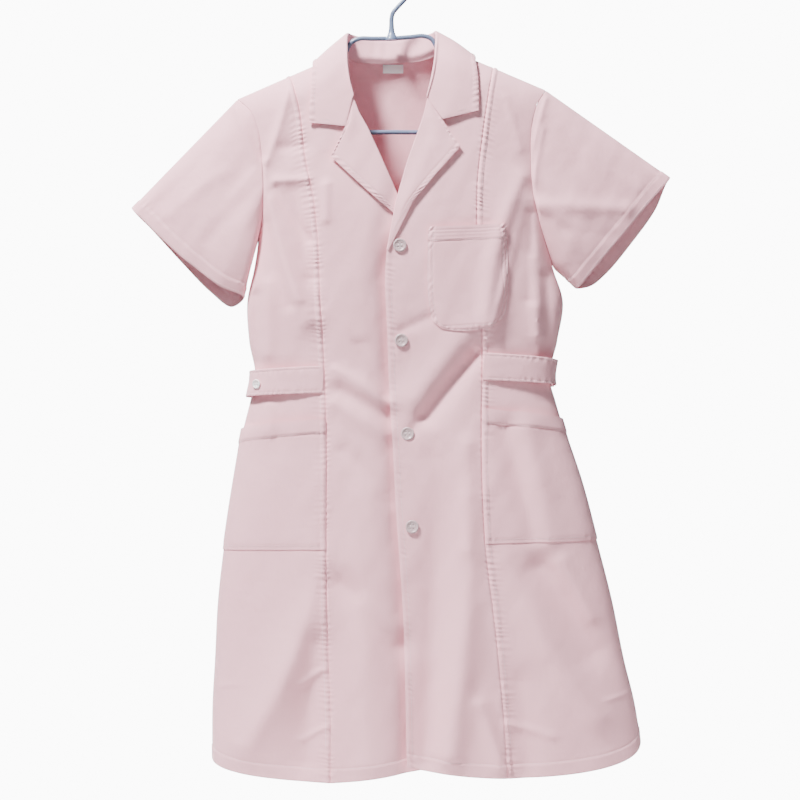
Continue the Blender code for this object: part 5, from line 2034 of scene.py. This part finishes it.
@dataclass
class Studio:
    """A camera at the photograph's angle, soft white light and a pale floor."""

    distance: float = 4.0
    centre: tuple[float, float] = (0.0112, -0.561)
    frame_width: float = 1.056
    sensor: float = 36.0
    floor_drop: float = 1.25
    floor_radius: float = 1.0
    ambient: float = 0.14
    backdrop: float = 11.0
    key: tuple[float, float, float] = (-1.2, -1.2, 2.05)
    key_size: float = 0.5
    key_power: float = 345.0
    fill: tuple[float, float, float] = (0.7, -3.6, 0.5)
    fill_power: float = 24.0
    rear: tuple[float, float, float] = (-1.2, 2.4, 1.2)
    rear_power: float = 150.0
    soft_size: float = 1.2
    floor_colour: str = "#EFEFEE"
    floor_sides: int = 96

    def camera(self) -> None:
        """A long lens square to the dress, with the width of the photograph's frame at the hanger's plane."""
        data = bpy.data.cameras.new("camera")
        data.sensor_width = self.sensor
        data.lens = self.sensor * self.distance / self.frame_width
        data.clip_end = 50.0
        camera = bpy.data.objects.new("camera", data)
        camera.location = (self.centre[0], -self.distance, self.centre[1])
        camera.rotation_euler = (math.radians(90), 0, 0)
        bpy.context.scene.collection.objects.link(camera)
        bpy.context.scene.camera = camera

    def area_light(self, name: str, place: tuple[float, float, float], size: float, power: float) -> None:
        """A square lamp that faces the middle of the dress."""
        data = bpy.data.lights.new(name, "AREA")
        data.shape, data.size, data.energy = "SQUARE", size, power
        lamp = bpy.data.objects.new(name, data)
        lamp.location = place
        ahead = unit(np.array((self.centre[0], 0.0, self.centre[1])) - np.array(place))
        lamp.rotation_euler = (
            math.acos(-ahead[2]), 0.0, math.atan2(ahead[1], ahead[0]) - math.pi / 2
        )
        bpy.context.scene.collection.objects.link(lamp)

    def world(self) -> None:
        """White where the camera sees past the dress, and softer where the light comes from."""
        world = bpy.data.worlds.new("studio")
        world.use_nodes = True
        tree = world.node_tree
        tree.nodes.clear()
        seen = add_node(tree, "ShaderNodeLightPath").outputs["Is Camera Ray"]
        soft, white = (
            add_node(tree, "ShaderNodeBackground", {"Color": (1, 1, 1, 1), "Strength": power}).outputs[0]
            for power in (self.ambient, self.backdrop)
        )
        mixed = add_node(tree, "ShaderNodeMixShader", {0: seen, 1: soft, 2: white})
        add_node(tree, "ShaderNodeOutputWorld", {0: mixed.outputs[0]})
        bpy.context.scene.world = world

    def floor(self) -> None:
        """A round pale floor below the hem."""
        turn = np.arange(self.floor_sides) * 2 * math.pi / self.floor_sides
        reach = self.floor_radius / METRE
        points = np.stack([reach * np.cos(turn), reach * np.sin(turn), 0 * turn], axis=-1)
        points = points + (self.centre[0] / METRE, 0.0, -self.floor_drop / METRE)
        colour = linear(self.floor_colour)
        material, _, _ = new_finish("pale studio floor", Base_Color=colour, Roughness=0.9)
        mesh = bpy.data.meshes.new("floor")
        mesh.from_pydata((points * METRE).tolist(), [], [tuple(range(self.floor_sides))])
        mesh.materials.append(material)
        floor = bpy.data.objects.new("floor", mesh)
        bpy.context.scene.collection.objects.link(floor)

    def build(self) -> None:
        """Sets up the camera, the lamps, the world and the floor."""
        self.camera()
        self.area_light("key", self.key, self.key_size, self.key_power)
        self.area_light("fill", self.fill, self.soft_size, self.fill_power)
        self.area_light("rear", self.rear, self.soft_size, self.rear_power)
        self.world()
        self.floor()


def main() -> None:
    """Builds every sub-assembly in order and reports its pieces."""
    logging.basicConfig(level=logging.INFO, format="%(message)s")
    Studio().build()
    finishes = Finishes(
        twill=PinkTwill().make(), thread=SewingThread().make(), button=ButtonPlastic().make(),
        tab_button=ButtonPlastic("#EFE9EA", "#FBF7F7", "polished white polyester button").make(),
        hanger=HangerPlastic().make(), label=LabelTape().make(),
    )
    parts = [
        BackPanel(),
        FrontPanels(Side.RIGHT, side_sag=4.0),
        FrontPanels(Side.LEFT, side_sag=10.0),
        Sleeve(Side.RIGHT),
        Sleeve(Side.LEFT),
        Collar(),
        Lapel(Side.RIGHT),
        Lapel(Side.LEFT),
        ChestPocket(),
        *TABS.values(),
        Buttons(),
        NeckLabel(),
        Hanger(),
    ]
    for part in parts:
        for piece in part.build(finishes):
            log.info("%s: %d faces", piece.name, len(piece.data.polygons))


if __name__ == "__main__":
    main()
